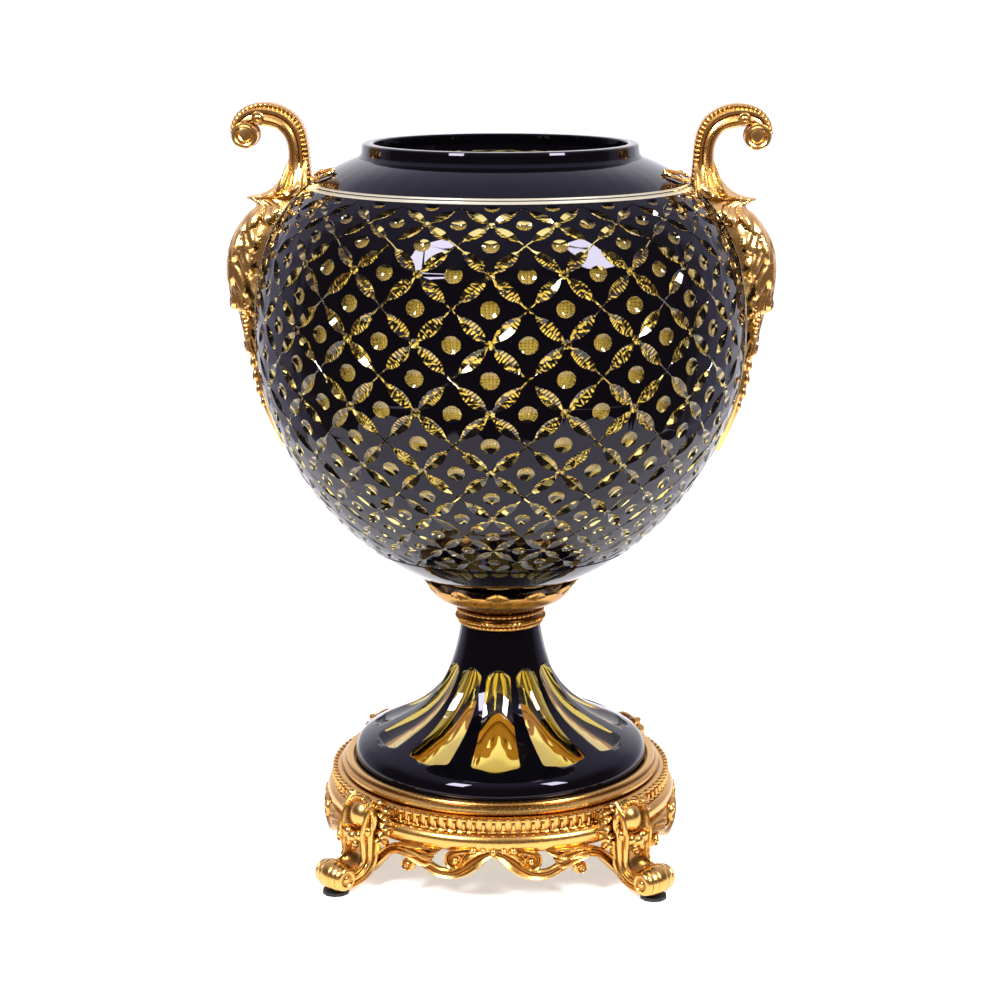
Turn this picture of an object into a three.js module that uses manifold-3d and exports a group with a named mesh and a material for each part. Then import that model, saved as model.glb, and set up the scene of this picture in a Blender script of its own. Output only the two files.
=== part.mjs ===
// A footed crystal bowl with two gilt handles, on a gilt four-legged stand.
// Millimetres, +Z up, the handles along X, the origin on the floor under the bowl's axis.
import * as THREE from "three";
import Module from "manifold-3d";
import { mergeVertices } from "three/addons/utils/BufferGeometryUtils.js";

// Clearances: between separate pieces, and round the crystal where gilt lies against it.
const fitGap = 0.3;
const seatGap = 0.7;

// Crystal foot: a flared stem with long hollow cuts, open below. Its rim stands in the stand's seat.
const standTopHeight = 50.4;
const seatDepth = 3.4;
const footRadius = 79.2;
const footKneeRadius = 54.8;
const footDishSlope = 0.49;
const footRimHeight = 10.54;
const footStemHeight = 53.3;
const footBottomHeight = standTopHeight - seatDepth;
const footKneeHeight = footBottomHeight + footRimHeight + (footRadius - footKneeRadius) * footDishSlope;
const footTopHeight = footKneeHeight + footStemHeight;
const footTopRadius = 21.5;
const footFlareRun = 3.9;
const footFlareFall = 28.5;
const footKneeRun = 19.3;
const footEdgeRound = 8;
const footWall = 9;
const fluteCount = 11;
const fluteTopShare = 0.25;
const fluteBottomShare = 0.9;
const fluteTopAngle = 28;
const fluteBottomAngle = 21;
const fluteDepth = 2.4;

// Gilt collar between the foot and the bowl, with a cup of leaves.
const collarHeight = 18.2;
const collarRadius = 22.8;
const collarBandRadius = 23.9;
const collarBandRise = 8.4;
const collarLeafCount = 12;
const collarLeafReach = 46;
const collarNotchReach = 38;
const collarCupReach = 32;
const collarLeafThickness = 2.2;

// Bowl: two superellipse quarters that meet at the widest height, on top of the collar.
const bowlRadius = 127.6;
const bowlDepth = 137;
const bowlDepthPower = 1.84;
const bowlWidestHeight = footTopHeight + collarHeight + bowlDepth;
const bowlShoulderRise = 102.7;
const bowlShoulderPower = 2.72;
const bowlWall = 5.4;
const bowlFloorWall = 9;
const neckRadius = 73.5;
const lipRadius = 71.2;
const rimRadius = 70.4;
const lipHeight = 7.4;
const lipRound = 3;
const rimHeight = shoulderHeightAt(neckRadius) + lipHeight;

// Cut lattice: pointed leaves that run between flower points and thin crossings.
// The shares are of the shoulder's rise for heights, and of a column's width for rows and leaves.
const latticeColumns = 22;
const latticeTopShare = 0.7556;
const firstFlowerShare = 0.6816;
const firstRowShare = 0.68;
const secondRowShare = 0.86;
const rowShare = 0.92;
const cutRows = 10;
const undersideShares = [0.86, 0.7, 0.53, 0.36, 0.19];
const leafWidthShare = 0.37;
const leafMiddleShare = 0.47;
const leafDepth = 1.8;
const ringGrooveShare = 0.7731;
const ringGrooveWidth = 3;
const ringGrooveDepth = 0.6;

// Gilt stand: a round moulded ring on four legs, with a pierced apron between them.
const seatLedgeWidth = 8.2;
const mouldingStand = 6.8;
const mouldingRound = 3.5;
const coveStand = 5.6;
const gadroonStand = 12.2;
const gadroonFall = 10;
const bellyStand = 15.4;
const bellyFall = 21.9;
const bellyRadius = footRadius + bellyStand;
const bellyHeight = standTopHeight - bellyFall;
const standWall = 5;
const legCount = 4;
const legWidth = 18;
const kneeStand = 0.9;
const kneeRise = 5.5;
const kneeReach = bellyRadius + kneeStand;
const kneeHeight = bellyHeight + kneeRise;
const kneeDome = 9.5;
const toeRun = 21;
const toeRadius = kneeReach + toeRun;
const toeRoll = 8;
const toeOverhang = 1;
const legSoleHeight = 2;
const padRadius = 7;
const padInset = 0.5;
const padReach = toeRadius - padInset;
const apronThickness = 4.5;
const apronInset = 0.6;
const apronRadius = bellyRadius - apronInset;
const apronLean = 0.12;
const piercingAngle = 17.5;
const piercingHeightShare = 0.77;
const piercingRadius = 2.7;

// Gilt handles: a scrolled stem above a long leaf that lies down the bowl's side.
const armReachShare = 0.7484;
const armReach = bowlRadius * armReachShare;
const armRootRun = 7.5;
const armTipAngle = 29;
const armFall = 0.55;
const armHalfWidth = 3.2;
const armHalfHeight = 2;
const stemRootInset = 19.1;
const stemRootFall = 3.2;
const stemHalfDepth = 6.9;
const stemHalfWidth = 6;
const scrollOverhang = 3.8;
const scrollRise = 25.8;
const scrollEyeRadius = 7.3;
const scrollWidth = 13.5;
const scrollBossRadius = 3.6;
const scrollBossStand = 1.4;
const sideLeafLength = 141;
const sideLeafStand = 24.5;
const sideLeafHalfWidth = 17;

// Working sizes: how far a faceted section stands out to keep its width, and the finest edge that is kept.
const sectionSpread = 1.06;
const profileSteps = 400;
const sliverSize = 0.12;

const wasm = await Module();
wasm.setup();

const radians = THREE.MathUtils.degToRad;
const lerp = THREE.MathUtils.lerp;

// A closed body collected ring by ring, with its faces pointing out.
class Shell {
  constructor() {
    this.positions = [];
    this.faces = [];
  }

  point(x, y, z) {
    this.positions.push(x, y, z);
    return this.positions.length / 3 - 1;
  }

  ring(points) {
    return points.map((p) => this.point(p.x, p.y, p.z));
  }

  face(a, b, c) {
    this.faces.push(a, b, c);
  }

  // Joins two rings of one count, where upper lies before lower along the outward profile.
  strip(upper, lower) {
    const count = upper.length;
    for (let i = 0; i < count; i++) {
      const next = (i + 1) % count;
      this.face(upper[i], lower[i], lower[next]);
      this.face(upper[i], lower[next], upper[next]);
    }
  }

  // Joins a ring to one with half as many points.
  halvingStrip(upper, lower) {
    for (let i = 0; i < lower.length; i++) {
      const left = upper[2 * i];
      const middle = upper[2 * i + 1];
      const right = upper[(2 * i + 2) % upper.length];
      const next = lower[(i + 1) % lower.length];
      this.face(left, lower[i], middle);
      this.face(middle, lower[i], next);
      this.face(middle, next, right);
    }
  }

  // Joins a ring to one with twice as many points.
  doublingStrip(upper, lower) {
    for (let i = 0; i < upper.length; i++) {
      const next = upper[(i + 1) % upper.length];
      const left = lower[2 * i];
      const middle = lower[2 * i + 1];
      const right = lower[(2 * i + 2) % lower.length];
      this.face(upper[i], left, middle);
      this.face(upper[i], middle, next);
      this.face(next, middle, right);
    }
  }

  fanBefore(apex, ring) {
    ring.forEach((p, i) => this.face(apex, p, ring[(i + 1) % ring.length]));
  }

  fanAfter(ring, apex) {
    ring.forEach((p, i) => this.face(p, apex, ring[(i + 1) % ring.length]));
  }

  geometry() {
    const geometry = new THREE.BufferGeometry();
    geometry.setAttribute("position", new THREE.Float32BufferAttribute(this.positions, 3));
    geometry.setIndex(this.faces);
    return geometry;
  }
}

function turned(radius, height, angle) {
  return new THREE.Vector3(radius * Math.cos(angle), radius * Math.sin(angle), height);
}

function circleOf(radius, height, count, offset = 0) {
  const points = [];
  for (let i = 0; i < count; i++) points.push(turned(radius, height, ((i + offset) / count) * 2 * Math.PI));
  return points;
}

function toSolid(geometry) {
  const bare = geometry.clone();
  bare.deleteAttribute("normal");
  bare.deleteAttribute("uv");
  const merged = mergeVertices(bare, 1e-4);
  return new wasm.Manifold(
    new wasm.Mesh({
      numProp: 3,
      vertProperties: merged.attributes.position.array,
      triVerts: new Uint32Array(merged.index.array),
    }),
  );
}

function toGeometry(solid) {
  const mesh = solid.getMesh();
  const geometry = new THREE.BufferGeometry();
  geometry.setAttribute("position", new THREE.BufferAttribute(mesh.vertProperties, 3));
  geometry.setIndex(new THREE.BufferAttribute(mesh.triVerts, 1));
  return geometry;
}

function joined(geometries) {
  return geometries.map(toSolid).reduce((sum, solid) => sum.add(solid));
}

// A closed tube through rings of points; its ends are closed on the rings' middles.
function loft(rings) {
  const shell = new Shell();
  const indices = rings.map((ring) => shell.ring(ring));
  const middle = (ring) => ring.reduce((sum, p) => sum.add(p), new THREE.Vector3()).divideScalar(ring.length);
  const first = middle(rings[0]);
  const last = middle(rings[rings.length - 1]);
  shell.fanBefore(shell.point(first.x, first.y, first.z), indices[0]);
  for (let i = 1; i < indices.length; i++) shell.strip(indices[i - 1], indices[i]);
  shell.fanAfter(indices[indices.length - 1], shell.point(last.x, last.y, last.z));
  return facingOut(shell.geometry());
}

// Turns a closed body's faces round where they point inwards.
function facingOut(geometry) {
  const position = geometry.attributes.position;
  const index = geometry.index.array;
  const [a, b, c] = [new THREE.Vector3(), new THREE.Vector3(), new THREE.Vector3()];
  let volume = 0;
  for (let i = 0; i < index.length; i += 3) {
    a.fromBufferAttribute(position, index[i]);
    b.fromBufferAttribute(position, index[i + 1]);
    c.fromBufferAttribute(position, index[i + 2]);
    volume += a.dot(b.cross(c));
  }
  if (volume < 0) {
    for (let i = 0; i < index.length; i += 3) [index[i + 1], index[i + 2]] = [index[i + 2], index[i + 1]];
  }
  return geometry;
}

// The bowl's outer radius at a height, and its height at a radius above or below the widest point.
function bowlRadiusAt(height) {
  const above = height > bowlWidestHeight;
  const share = Math.abs(height - bowlWidestHeight) / (above ? bowlShoulderRise : bowlDepth);
  const power = above ? bowlShoulderPower : bowlDepthPower;
  return bowlRadius * Math.max(0, 1 - share ** power) ** (1 / power);
}

function shoulderHeightAt(radius) {
  const share = 1 - (radius / bowlRadius) ** bowlShoulderPower;
  return bowlWidestHeight + bowlShoulderRise * share ** (1 / bowlShoulderPower);
}

function undersideHeightAt(radius) {
  const share = 1 - (radius / bowlRadius) ** bowlDepthPower;
  return bowlWidestHeight - bowlDepth * share ** (1 / bowlDepthPower);
}

// The lattice keeps its squares square: its rows step down in proportion to the radius.
function latticeHeights() {
  const columnAngle = Math.PI / latticeColumns;
  const firstTwo = [latticeTopShare, firstFlowerShare];
  const heights = firstTwo.map((share) => bowlWidestHeight + bowlShoulderRise * share);
  let height = heights[1];
  const step = bowlDepth / profileSteps;
  for (let row = 0; row < cutRows - 1; row++) {
    const share = row === 0 ? firstRowShare : row === 1 ? secondRowShare : rowShare;
    let left = share * columnAngle;
    while (left > 0) {
      const radius = bowlRadiusAt(height);
      const slope = bowlRadiusAt(height - step) - radius;
      left -= Math.hypot(step, slope) / radius;
      height -= step;
    }
    heights.push(height);
  }
  return heights;
}

// Moves a point of the bowl's surface straight inwards by a depth.
function sunkIn(point, depth) {
  const radius = Math.hypot(point.x, point.y);
  const step = 0.5;
  const slope = (bowlRadiusAt(point.z + step) - bowlRadiusAt(point.z - step)) / (2 * step);
  const length = Math.hypot(1, slope);
  const newRadius = radius - depth / length;
  return new THREE.Vector3(
    (point.x / radius) * newRadius,
    (point.y / radius) * newRadius,
    point.z + (depth * slope) / length,
  );
}

// One square of the lattice: a boat-shaped leaf cut lies on the diagonal from the flower to the crossing.
function cutCell(shell, corners, heights, column, fallsRight) {
  const [topLeft, topRight, bottomLeft, bottomRight] = corners;
  const columnAngle = Math.PI / latticeColumns;
  const along = heights.flowerOnTop ? leafMiddleShare : 1 - leafMiddleShare;
  const cellHeight = heights.top - heights.bottom;
  const acrossShare = leafWidthShare / 2;
  const at = (right, down) => {
    const height = heights.top - cellHeight * down;
    return turned(bowlRadiusAt(height), height, (column + right) * columnAngle);
  };
  const right = fallsRight ? along : 1 - along;
  const side = fallsRight ? 1 : -1;
  const low = at(right - side * acrossShare, along + acrossShare);
  const high = at(right + side * acrossShare, along - acrossShare);
  const cellShare = bowlRadiusAt(heights.bottom) / bowlRadius;
  const valleyPoint = sunkIn(at(right, along), leafDepth * cellShare);
  const lowSide = shell.point(low.x, low.y, low.z);
  const highSide = shell.point(high.x, high.y, high.z);
  const valley = shell.point(valleyPoint.x, valleyPoint.y, valleyPoint.z);
  const start = fallsRight ? topLeft : topRight;
  const end = fallsRight ? bottomRight : bottomLeft;
  const above = fallsRight ? topRight : topLeft;
  const below = fallsRight ? bottomLeft : bottomRight;
  const add = fallsRight ? (a, b, c) => shell.face(a, b, c) : (a, b, c) => shell.face(a, c, b);
  add(start, lowSide, valley);
  add(lowSide, end, valley);
  add(end, highSide, valley);
  add(highSide, start, valley);
  add(start, below, lowSide);
  add(below, end, lowSide);
  add(end, above, highSide);
  add(above, start, highSide);
}

function bowlGeometry() {
  const shell = new Shell();
  const count = 2 * latticeColumns;
  const ringAt = (radius, height) => shell.ring(circleOf(radius, height, count));
  const surfaceRing = (height) => ringAt(bowlRadiusAt(height), height);
  const shoulderRing = (radius) => ringAt(radius, shoulderHeightAt(radius));
  const heights = latticeHeights();
  const ringGrooveHeight = bowlWidestHeight + bowlShoulderRise * ringGrooveShare;
  const grooveTop = ringGrooveHeight + ringGrooveWidth / 2;
  const grooveRing = circleOf(bowlRadiusAt(ringGrooveHeight), ringGrooveHeight, count);
  const outer = [
    ringAt(rimRadius, rimHeight),
    ringAt(lipRadius, rimHeight - lipRound),
    ringAt(neckRadius, shoulderHeightAt(neckRadius)),
    shoulderRing(lerp(neckRadius, bowlRadiusAt(grooveTop), 0.5)),
    surfaceRing(grooveTop),
    shell.ring(grooveRing.map((p) => sunkIn(p, ringGrooveDepth))),
  ];
  const latticeRings = heights.map(surfaceRing);
  outer.push(latticeRings[0]);
  for (let i = 1; i < outer.length; i++) shell.strip(outer[i - 1], outer[i]);
  for (let row = 0; row < cutRows; row++) {
    const [top, bottom] = [latticeRings[row], latticeRings[row + 1]];
    const rowHeights = { top: heights[row], bottom: heights[row + 1], flowerOnTop: row % 2 === 1 };
    for (let column = 0; column < count; column++) {
      const next = (column + 1) % count;
      const corners = [top[column], top[next], bottom[column], bottom[next]];
      cutCell(shell, corners, rowHeights, column, (row + column) % 2 === 0);
    }
  }
  const lowestRadius = bowlRadiusAt(heights[heights.length - 1]);
  const undersideRing = (radius) => shell.ring(circleOf(radius, undersideHeightAt(radius), latticeColumns));
  const underRings = undersideShares.map((share) => undersideRing(share * lowestRadius));
  shell.halvingStrip(latticeRings[latticeRings.length - 1], underRings[0]);
  for (let i = 1; i < underRings.length; i++) shell.strip(underRings[i - 1], underRings[i]);
  shell.fanAfter(underRings[underRings.length - 1], shell.point(0, 0, bowlWidestHeight - bowlDepth));

  // Inside: the same curve one wall further in, thicker at the floor.
  const insideShare = (bowlRadius - bowlWall) / bowlRadius;
  const insideDepth = bowlDepth - bowlFloorWall;
  const throatRadius = neckRadius - bowlWall;
  const throatHeight = shoulderHeightAt(neckRadius) - bowlWall;
  const insideRing = (radius, height) => shell.ring(circleOf(radius, height, latticeColumns, 0.25));
  const inside = [insideRing(rimRadius - bowlWall, rimHeight), insideRing(throatRadius, throatHeight)];
  const insideRadiusAt = (turn, power) =>
    insideShare * bowlRadius * Math.cos((turn * Math.PI) / 2) ** (2 / power);
  const insideRiseAt = (turn, power) => Math.sin((turn * Math.PI) / 2) ** (2 / power);
  for (const turn of [0.62, 0.42, 0.2]) {
    const rise = (bowlShoulderRise - bowlWall) * insideRiseAt(turn, bowlShoulderPower);
    inside.push(insideRing(insideRadiusAt(turn, bowlShoulderPower), bowlWidestHeight + rise));
  }
  for (const turn of [0.06, 0.3, 0.5, 0.7, 0.88]) {
    const drop = insideDepth * insideRiseAt(turn, bowlDepthPower);
    inside.push(insideRing(insideRadiusAt(turn, bowlDepthPower), bowlWidestHeight - drop));
  }
  shell.doublingStrip(inside[0], outer[0]);
  for (let i = 1; i < inside.length; i++) shell.strip(inside[i], inside[i - 1]);
  shell.fanBefore(shell.point(0, 0, bowlWidestHeight - insideDepth), inside[inside.length - 1]);
  return shell.geometry();
}

// The foot's outer profile, from its top down to the rounded edge of the dish.
function footProfile() {
  const flare = new THREE.CubicBezierCurve(
    new THREE.Vector2(footTopRadius, footTopHeight),
    new THREE.Vector2(footTopRadius + footFlareRun, footTopHeight - footFlareFall),
    new THREE.Vector2(footKneeRadius - footKneeRun, footKneeHeight + footKneeRun * footDishSlope),
    new THREE.Vector2(footKneeRadius, footKneeHeight),
  );
  const edgeHeight = footKneeHeight - (footRadius - footKneeRadius) * footDishSlope;
  const dishEnd = new THREE.Vector2(footRadius - footEdgeRound, edgeHeight + footEdgeRound * footDishSlope);
  const path = new THREE.CurvePath();
  path.add(flare);
  path.add(new THREE.LineCurve(new THREE.Vector2(footKneeRadius, footKneeHeight), dishEnd));
  return { path, dishEnd, edgeHeight };
}

function footGeometry() {
  const shell = new Shell();
  const { path, dishEnd, edgeHeight } = footProfile();
  const pitch = (2 * Math.PI) / fluteCount;
  const sink = (point, normal, depth) => point.clone().addScaledVector(normal, -depth);
  // Each flute has two edges and two sunk lines between them, so a pitch has four columns.
  const fluteRing = (share, lift, depth, narrowing = 1) => {
    const down = (share - fluteTopShare) / (fluteBottomShare - fluteTopShare);
    const spread = lerp(fluteTopAngle, fluteBottomAngle, down);
    const half = radians(THREE.MathUtils.clamp(spread, fluteBottomAngle, fluteTopAngle)) * 0.5 * narrowing;
    const points = [];
    for (let flute = 0; flute < fluteCount; flute++) {
      for (const side of [-1, -0.4, 0.4, 1]) {
        const edge = Math.abs(side) === 1;
        const place = THREE.MathUtils.clamp(share + (edge ? 0 : lift), 0, 1);
        const point = path.getPointAt(place);
        const tangent = path.getTangentAt(place);
        const normal = new THREE.Vector2(-tangent.y, tangent.x).multiplyScalar(tangent.x >= 0 ? 1 : -1);
        const inset = edge ? point : sink(point, normal, depth);
        points.push(turned(inset.x, inset.y, flute * pitch - Math.PI / 2 + side * half));
      }
    }
    return shell.ring(points);
  };
  const flutedRings = [
    fluteRing(0, 0, 0),
    fluteRing(fluteTopShare + 0.02, -0.035, 0, 0.86),
    fluteRing(fluteTopShare + 0.05, 0, fluteDepth),
    fluteRing(lerp(fluteTopShare, fluteBottomShare, 0.55), 0, fluteDepth),
    fluteRing(fluteBottomShare - 0.05, 0, fluteDepth),
    fluteRing(fluteBottomShare, 0.025, 0),
  ];
  shell.fanBefore(shell.point(0, 0, footTopHeight), flutedRings[0]);
  const columns = 4 * fluteCount;
  const outerRing = (radius, height) => shell.ring(circleOf(radius, height, columns, -columns / 4 + 0.5));
  const outer = [
    ...flutedRings,
    outerRing(dishEnd.x, dishEnd.y),
    outerRing(footRadius - footEdgeRound * 0.22, edgeHeight - footEdgeRound * 0.12),
    outerRing(footRadius, edgeHeight - footEdgeRound * 0.7),
    outerRing(footRadius, footBottomHeight),
  ];
  for (let i = 1; i < outer.length; i++) shell.strip(outer[i - 1], outer[i]);

  // The hollow below follows the flare one wall further in.
  const hollowRing = (radius, height) =>
    shell.ring(circleOf(radius, height, columns / 2, -columns / 8 + 0.25));
  const mouth = hollowRing(footRadius - footWall, footBottomHeight);
  const hollow = [
    mouth,
    hollowRing(footKneeRadius, footKneeHeight - footWall * 1.2),
    hollowRing(footKneeRadius * 0.55, footKneeHeight + footWall * 0.35),
  ];
  shell.halvingStrip(outer[outer.length - 1], mouth);
  for (let i = 1; i < hollow.length; i++) shell.strip(hollow[i - 1], hollow[i]);
  shell.fanAfter(hollow[hollow.length - 1], shell.point(0, 0, footKneeHeight + footWall * 1.7));
  return facingOut(shell.geometry());
}

function collarGeometry() {
  const shell = new Shell();
  const columns = 2 * collarLeafCount;
  const bottom = footTopHeight + fitGap;
  const ringAt = (radius, height) => shell.ring(circleOf(radius, height, columns));
  // Two columns to a leaf: its tip and the notch beside it.
  const leafRing = (tipReach, notchReach, below) => {
    const points = [];
    for (let i = 0; i < columns; i++) {
      const radius = i % 2 ? notchReach : tipReach;
      points.push(turned(radius, undersideHeightAt(radius) - below, (i / columns) * 2 * Math.PI));
    }
    return shell.ring(points);
  };
  const outer = [
    ringAt(collarRadius, bottom),
    ringAt(collarBandRadius, bottom + collarBandRise * 0.3),
    ringAt(collarRadius, bottom + collarBandRise * 0.65),
    ringAt(collarBandRadius, bottom + collarBandRise),
    ringAt(collarRadius, bottom + collarBandRise * 1.4),
    leafRing(collarCupReach * 1.06, collarCupReach * 0.95, collarLeafThickness * 2.2),
    leafRing(collarLeafReach, collarNotchReach, seatGap + collarLeafThickness),
    leafRing(collarLeafReach * 0.99, collarNotchReach * 0.98, seatGap),
    ringAt(collarRadius, undersideHeightAt(collarRadius) - seatGap),
  ];
  shell.fanBefore(shell.point(0, 0, bottom), outer[0]);
  for (let i = 1; i < outer.length; i++) shell.strip(outer[i - 1], outer[i]);
  shell.fanAfter(outer[outer.length - 1], shell.point(0, 0, bowlWidestHeight - bowlDepth - seatGap));
  return facingOut(shell.geometry());
}

// An outline in the plane of the radius and the height, given a width across it.
function uprightSlab(shape, width, angle) {
  const slab = new THREE.ExtrudeGeometry(shape, { depth: width, bevelEnabled: false, curveSegments: 3 });
  slab.translate(0, 0, -width / 2);
  slab.rotateX(Math.PI / 2);
  slab.rotateZ(angle);
  return slab;
}

// The leg's outline, as shares of the run from knee to toe and of the drop from knee to sole.
const legOutline = [
  { to: [-0.66, 1.2] },
  { to: [-0.19, 1.31] },
  { bend: [0.19, 1.13], to: [0.14, 0.75] },
  { bend: [-0.05, 0.44], to: [0.29, 0.27] },
  { bend: [0.57, 0.14], to: [0.71, 0.25] },
  { to: [1, 0.09] },
  { to: [0.86, 0] },
  { to: [0.6, 0] },
  { bend: [-0.29, 0.16], to: [-0.57, 0.58] },
  { to: [-0.66, 1.2] },
];

function legShape() {
  const place = ([run, drop]) => [kneeReach + toeRun * run, lerp(legSoleHeight, kneeHeight, drop)];
  const shape = new THREE.Shape();
  legOutline.forEach(({ bend, to }, i) => {
    if (i === 0) shape.moveTo(...place(to));
    else if (bend) shape.quadraticCurveTo(...place(bend), ...place(to));
    else shape.lineTo(...place(to));
  });
  return shape;
}

function legParts(angle) {
  const leg = uprightSlab(legShape(), legWidth, angle);
  const roll = new THREE.CylinderGeometry(toeRoll, toeRoll, legWidth + 2 * toeOverhang, 10);
  roll.translate(toeRadius, 0, legSoleHeight + toeRoll);
  const dome = new THREE.SphereGeometry(kneeDome, 6, 4);
  dome.scale(0.6, 1, 0.9);
  dome.translate(kneeReach + kneeStand / 2, 0, kneeHeight);
  for (const piece of [roll, dome]) piece.rotateZ(angle);
  return [leg, roll, dome];
}

// Half of the apron's lower edge, from the leg to the cusp in its middle.
// Each place is an angle and a share of the belly's height.
const apronEdge = [
  [38.5, 0.895],
  [33, 0.86],
  [30.5, 0.42],
  [26.5, 0.44],
  [22.5, 0.65],
  [14, 0.44],
  [0, 0.88],
];

function apronRadiusAt(height) {
  return apronRadius - apronLean * Math.max(0, bellyHeight - height);
}

// The ring's profile is the same all round, and only its lowest two rings follow the apron's edge.
function standRing() {
  const seatRadius = footRadius + seatGap;
  const seatHeight = footBottomHeight - fitGap;
  const mirrored = apronEdge.slice(0, -1).reverse().map(([angle, share]) => [-angle, share]);
  const stations = [];
  for (let side = 0; side < legCount; side++) {
    const middle = (side / legCount) * 2 * Math.PI;
    for (const [angle, share] of [...apronEdge, ...mirrored]) {
      stations.push([middle - radians(angle), share * bellyHeight]);
    }
  }
  const shell = new Shell();
  const seatLedgeRadius = footRadius - seatLedgeWidth;
  const mouldingRadius = footRadius + mouldingStand;
  const level = (radius, height) => shell.ring(stations.map(([turn]) => turned(radius, height, turn)));
  const edge = (inset) =>
    shell.ring(stations.map(([turn, height]) => turned(apronRadiusAt(height) - inset, height, turn)));
  const rings = [
    level(seatRadius, standTopHeight),
    level(mouldingRadius - mouldingRound, standTopHeight),
    level(mouldingRadius, seatHeight),
    level(footRadius + coveStand, seatHeight - mouldingRound),
    level(footRadius + gadroonStand, seatHeight - gadroonFall),
    level(bellyRadius, bellyHeight),
    edge(0),
    edge(apronThickness),
    level(bellyRadius - apronThickness * 1.45, bellyHeight),
    level(seatLedgeRadius, seatHeight - standWall),
    level(seatLedgeRadius, seatHeight),
    level(seatRadius, seatHeight),
  ];
  rings.forEach((ring, i) => shell.strip(ring, rings[(i + 1) % rings.length]));
  return facingOut(shell.geometry());
}

function facingOutSoup(geometry) {
  const bare = geometry.clone();
  bare.deleteAttribute("normal");
  bare.deleteAttribute("uv");
  return facingOut(mergeVertices(bare, 1e-4));
}

function standGeometry() {
  let solid = toSolid(standRing());
  for (let i = 0; i < legCount; i++) {
    const legAngle = ((i + 0.5) / legCount) * 2 * Math.PI;
    for (const part of legParts(legAngle)) solid = solid.add(toSolid(facingOutSoup(part)));
    for (const side of [-1, 1]) {
      const piercingHeight = bellyHeight * piercingHeightShare;
      const drill = new THREE.CylinderGeometry(piercingRadius, piercingRadius, 4 * apronThickness, 6);
      drill.rotateZ(Math.PI / 2);
      drill.translate(apronRadiusAt(piercingHeight), 0, piercingHeight);
      drill.rotateZ((i / legCount) * 2 * Math.PI + side * radians(piercingAngle));
      solid = solid.subtract(toSolid(facingOutSoup(drill)));
    }
  }
  return toGeometry(solid.simplify(sliverSize));
}

function padGeometry() {
  const pad = new THREE.CylinderGeometry(padRadius, padRadius, legSoleHeight - fitGap, 10);
  pad.rotateX(Math.PI / 2);
  pad.translate(0, 0, (legSoleHeight - fitGap) / 2);
  return pad;
}

// Stations of the scrolled stem from its root.
// Each is a share of the run and of the rise to the scroll's eye, and a share of the depth.
const stemStations = [
  [0, 0, 0.87],
  [-0.135, 0.233, 0.957],
  [-0.201, 0.62, 0.797],
  [-0.07, 1.085, 0.87],
  [0.179, 1.318, 0.957],
  [0.48, 1.395, 1],
  [0.808, 1.326, 0.957],
  [1.087, 1.163, 0.725],
];

// Stations of the side leaf from its top: shares of its length, its stand off the bowl and its half width.
const leafStations = [
  [0.001, 0.408, 0.471],
  [0.033, 0.673, 0.647],
  [0.065, 1, 0.794],
  [0.087, 0.796, 0.824],
  [0.143, 0.898, 0.971],
  [0.228, 0.898, 1],
  [0.321, 0.784, 0.912],
  [0.399, 0.673, 0.794],
  [0.473, 0.612, 0.676],
  [0.494, 0.449, 0.588],
  [0.562, 0.306, 0.559],
  [0.629, 0.294, 0.588],
  [0.654, 0.188, 0.5],
  [0.746, 0.212, 0.471],
  [0.845, 0.147, 0.382],
  [0.938, 0.122, 0.294],
  [1.001, 0.09, 0.147],
];

function stemRoot() {
  return { reach: bowlRadius - stemRootInset, height: shoulderHeightAt(armReach) - stemRootFall };
}

function scrollEye() {
  return { reach: bowlRadius + scrollOverhang, height: stemRoot().height + scrollRise };
}

function stemGeometry() {
  const sides = 6;
  const root = stemRoot();
  const eye = scrollEye();
  const station = ([run, rise]) =>
    new THREE.Vector3(lerp(root.reach, eye.reach, run), 0, lerp(root.height, eye.height, rise));
  const path = new THREE.CatmullRomCurve3(stemStations.map(station));
  const steps = 8;
  const rings = [];
  for (let i = 0; i <= steps; i++) {
    const share = i / steps;
    const centre = path.getPoint(share);
    const tangent = path.getTangent(share);
    const place = share * (stemStations.length - 1);
    const index = Math.min(Math.floor(place), stemStations.length - 2);
    const half = stemHalfDepth * lerp(stemStations[index][2], stemStations[index + 1][2], place - index);
    const ring = [];
    for (let side = 0; side < sides; side++) {
      const turn = ((side + 0.5) / sides) * 2 * Math.PI;
      const out = Math.cos(turn) * half * sectionSpread;
      const across = Math.sin(turn) * stemHalfWidth * sectionSpread;
      ring.push(new THREE.Vector3(centre.x - tangent.z * out, across, centre.z + tangent.x * out));
    }
    rings.push(ring);
  }
  return loft(rings);
}

function sideLeafGeometry() {
  // Across the leaf: place from edge to edge, and the share of the full height there.
  const section = [
    [-1, 0.3],
    [-0.6, 0.7],
    [0, 1],
    [0.6, 0.7],
    [1, 0.3],
  ];
  const rings = leafStations.map(([down, standShare, widthShare]) => {
    const height = shoulderHeightAt(armReach) - sideLeafLength * down;
    const stand = sideLeafStand * standShare;
    const halfWidth = sideLeafHalfWidth * widthShare;
    const surface = bowlRadiusAt(height) + seatGap;
    const reach = (across) => Math.sqrt(surface ** 2 - across ** 2);
    const at = (place, share) => {
      const across = place * halfWidth;
      return new THREE.Vector3(reach(across) + stand * share, across, height);
    };
    const face = section.map(([place, share]) => at(place, share));
    const back = [0.85, 0, -0.85].map((place) => at(place, 0));
    return [...face, ...back];
  });
  return loft(rings);
}

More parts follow.
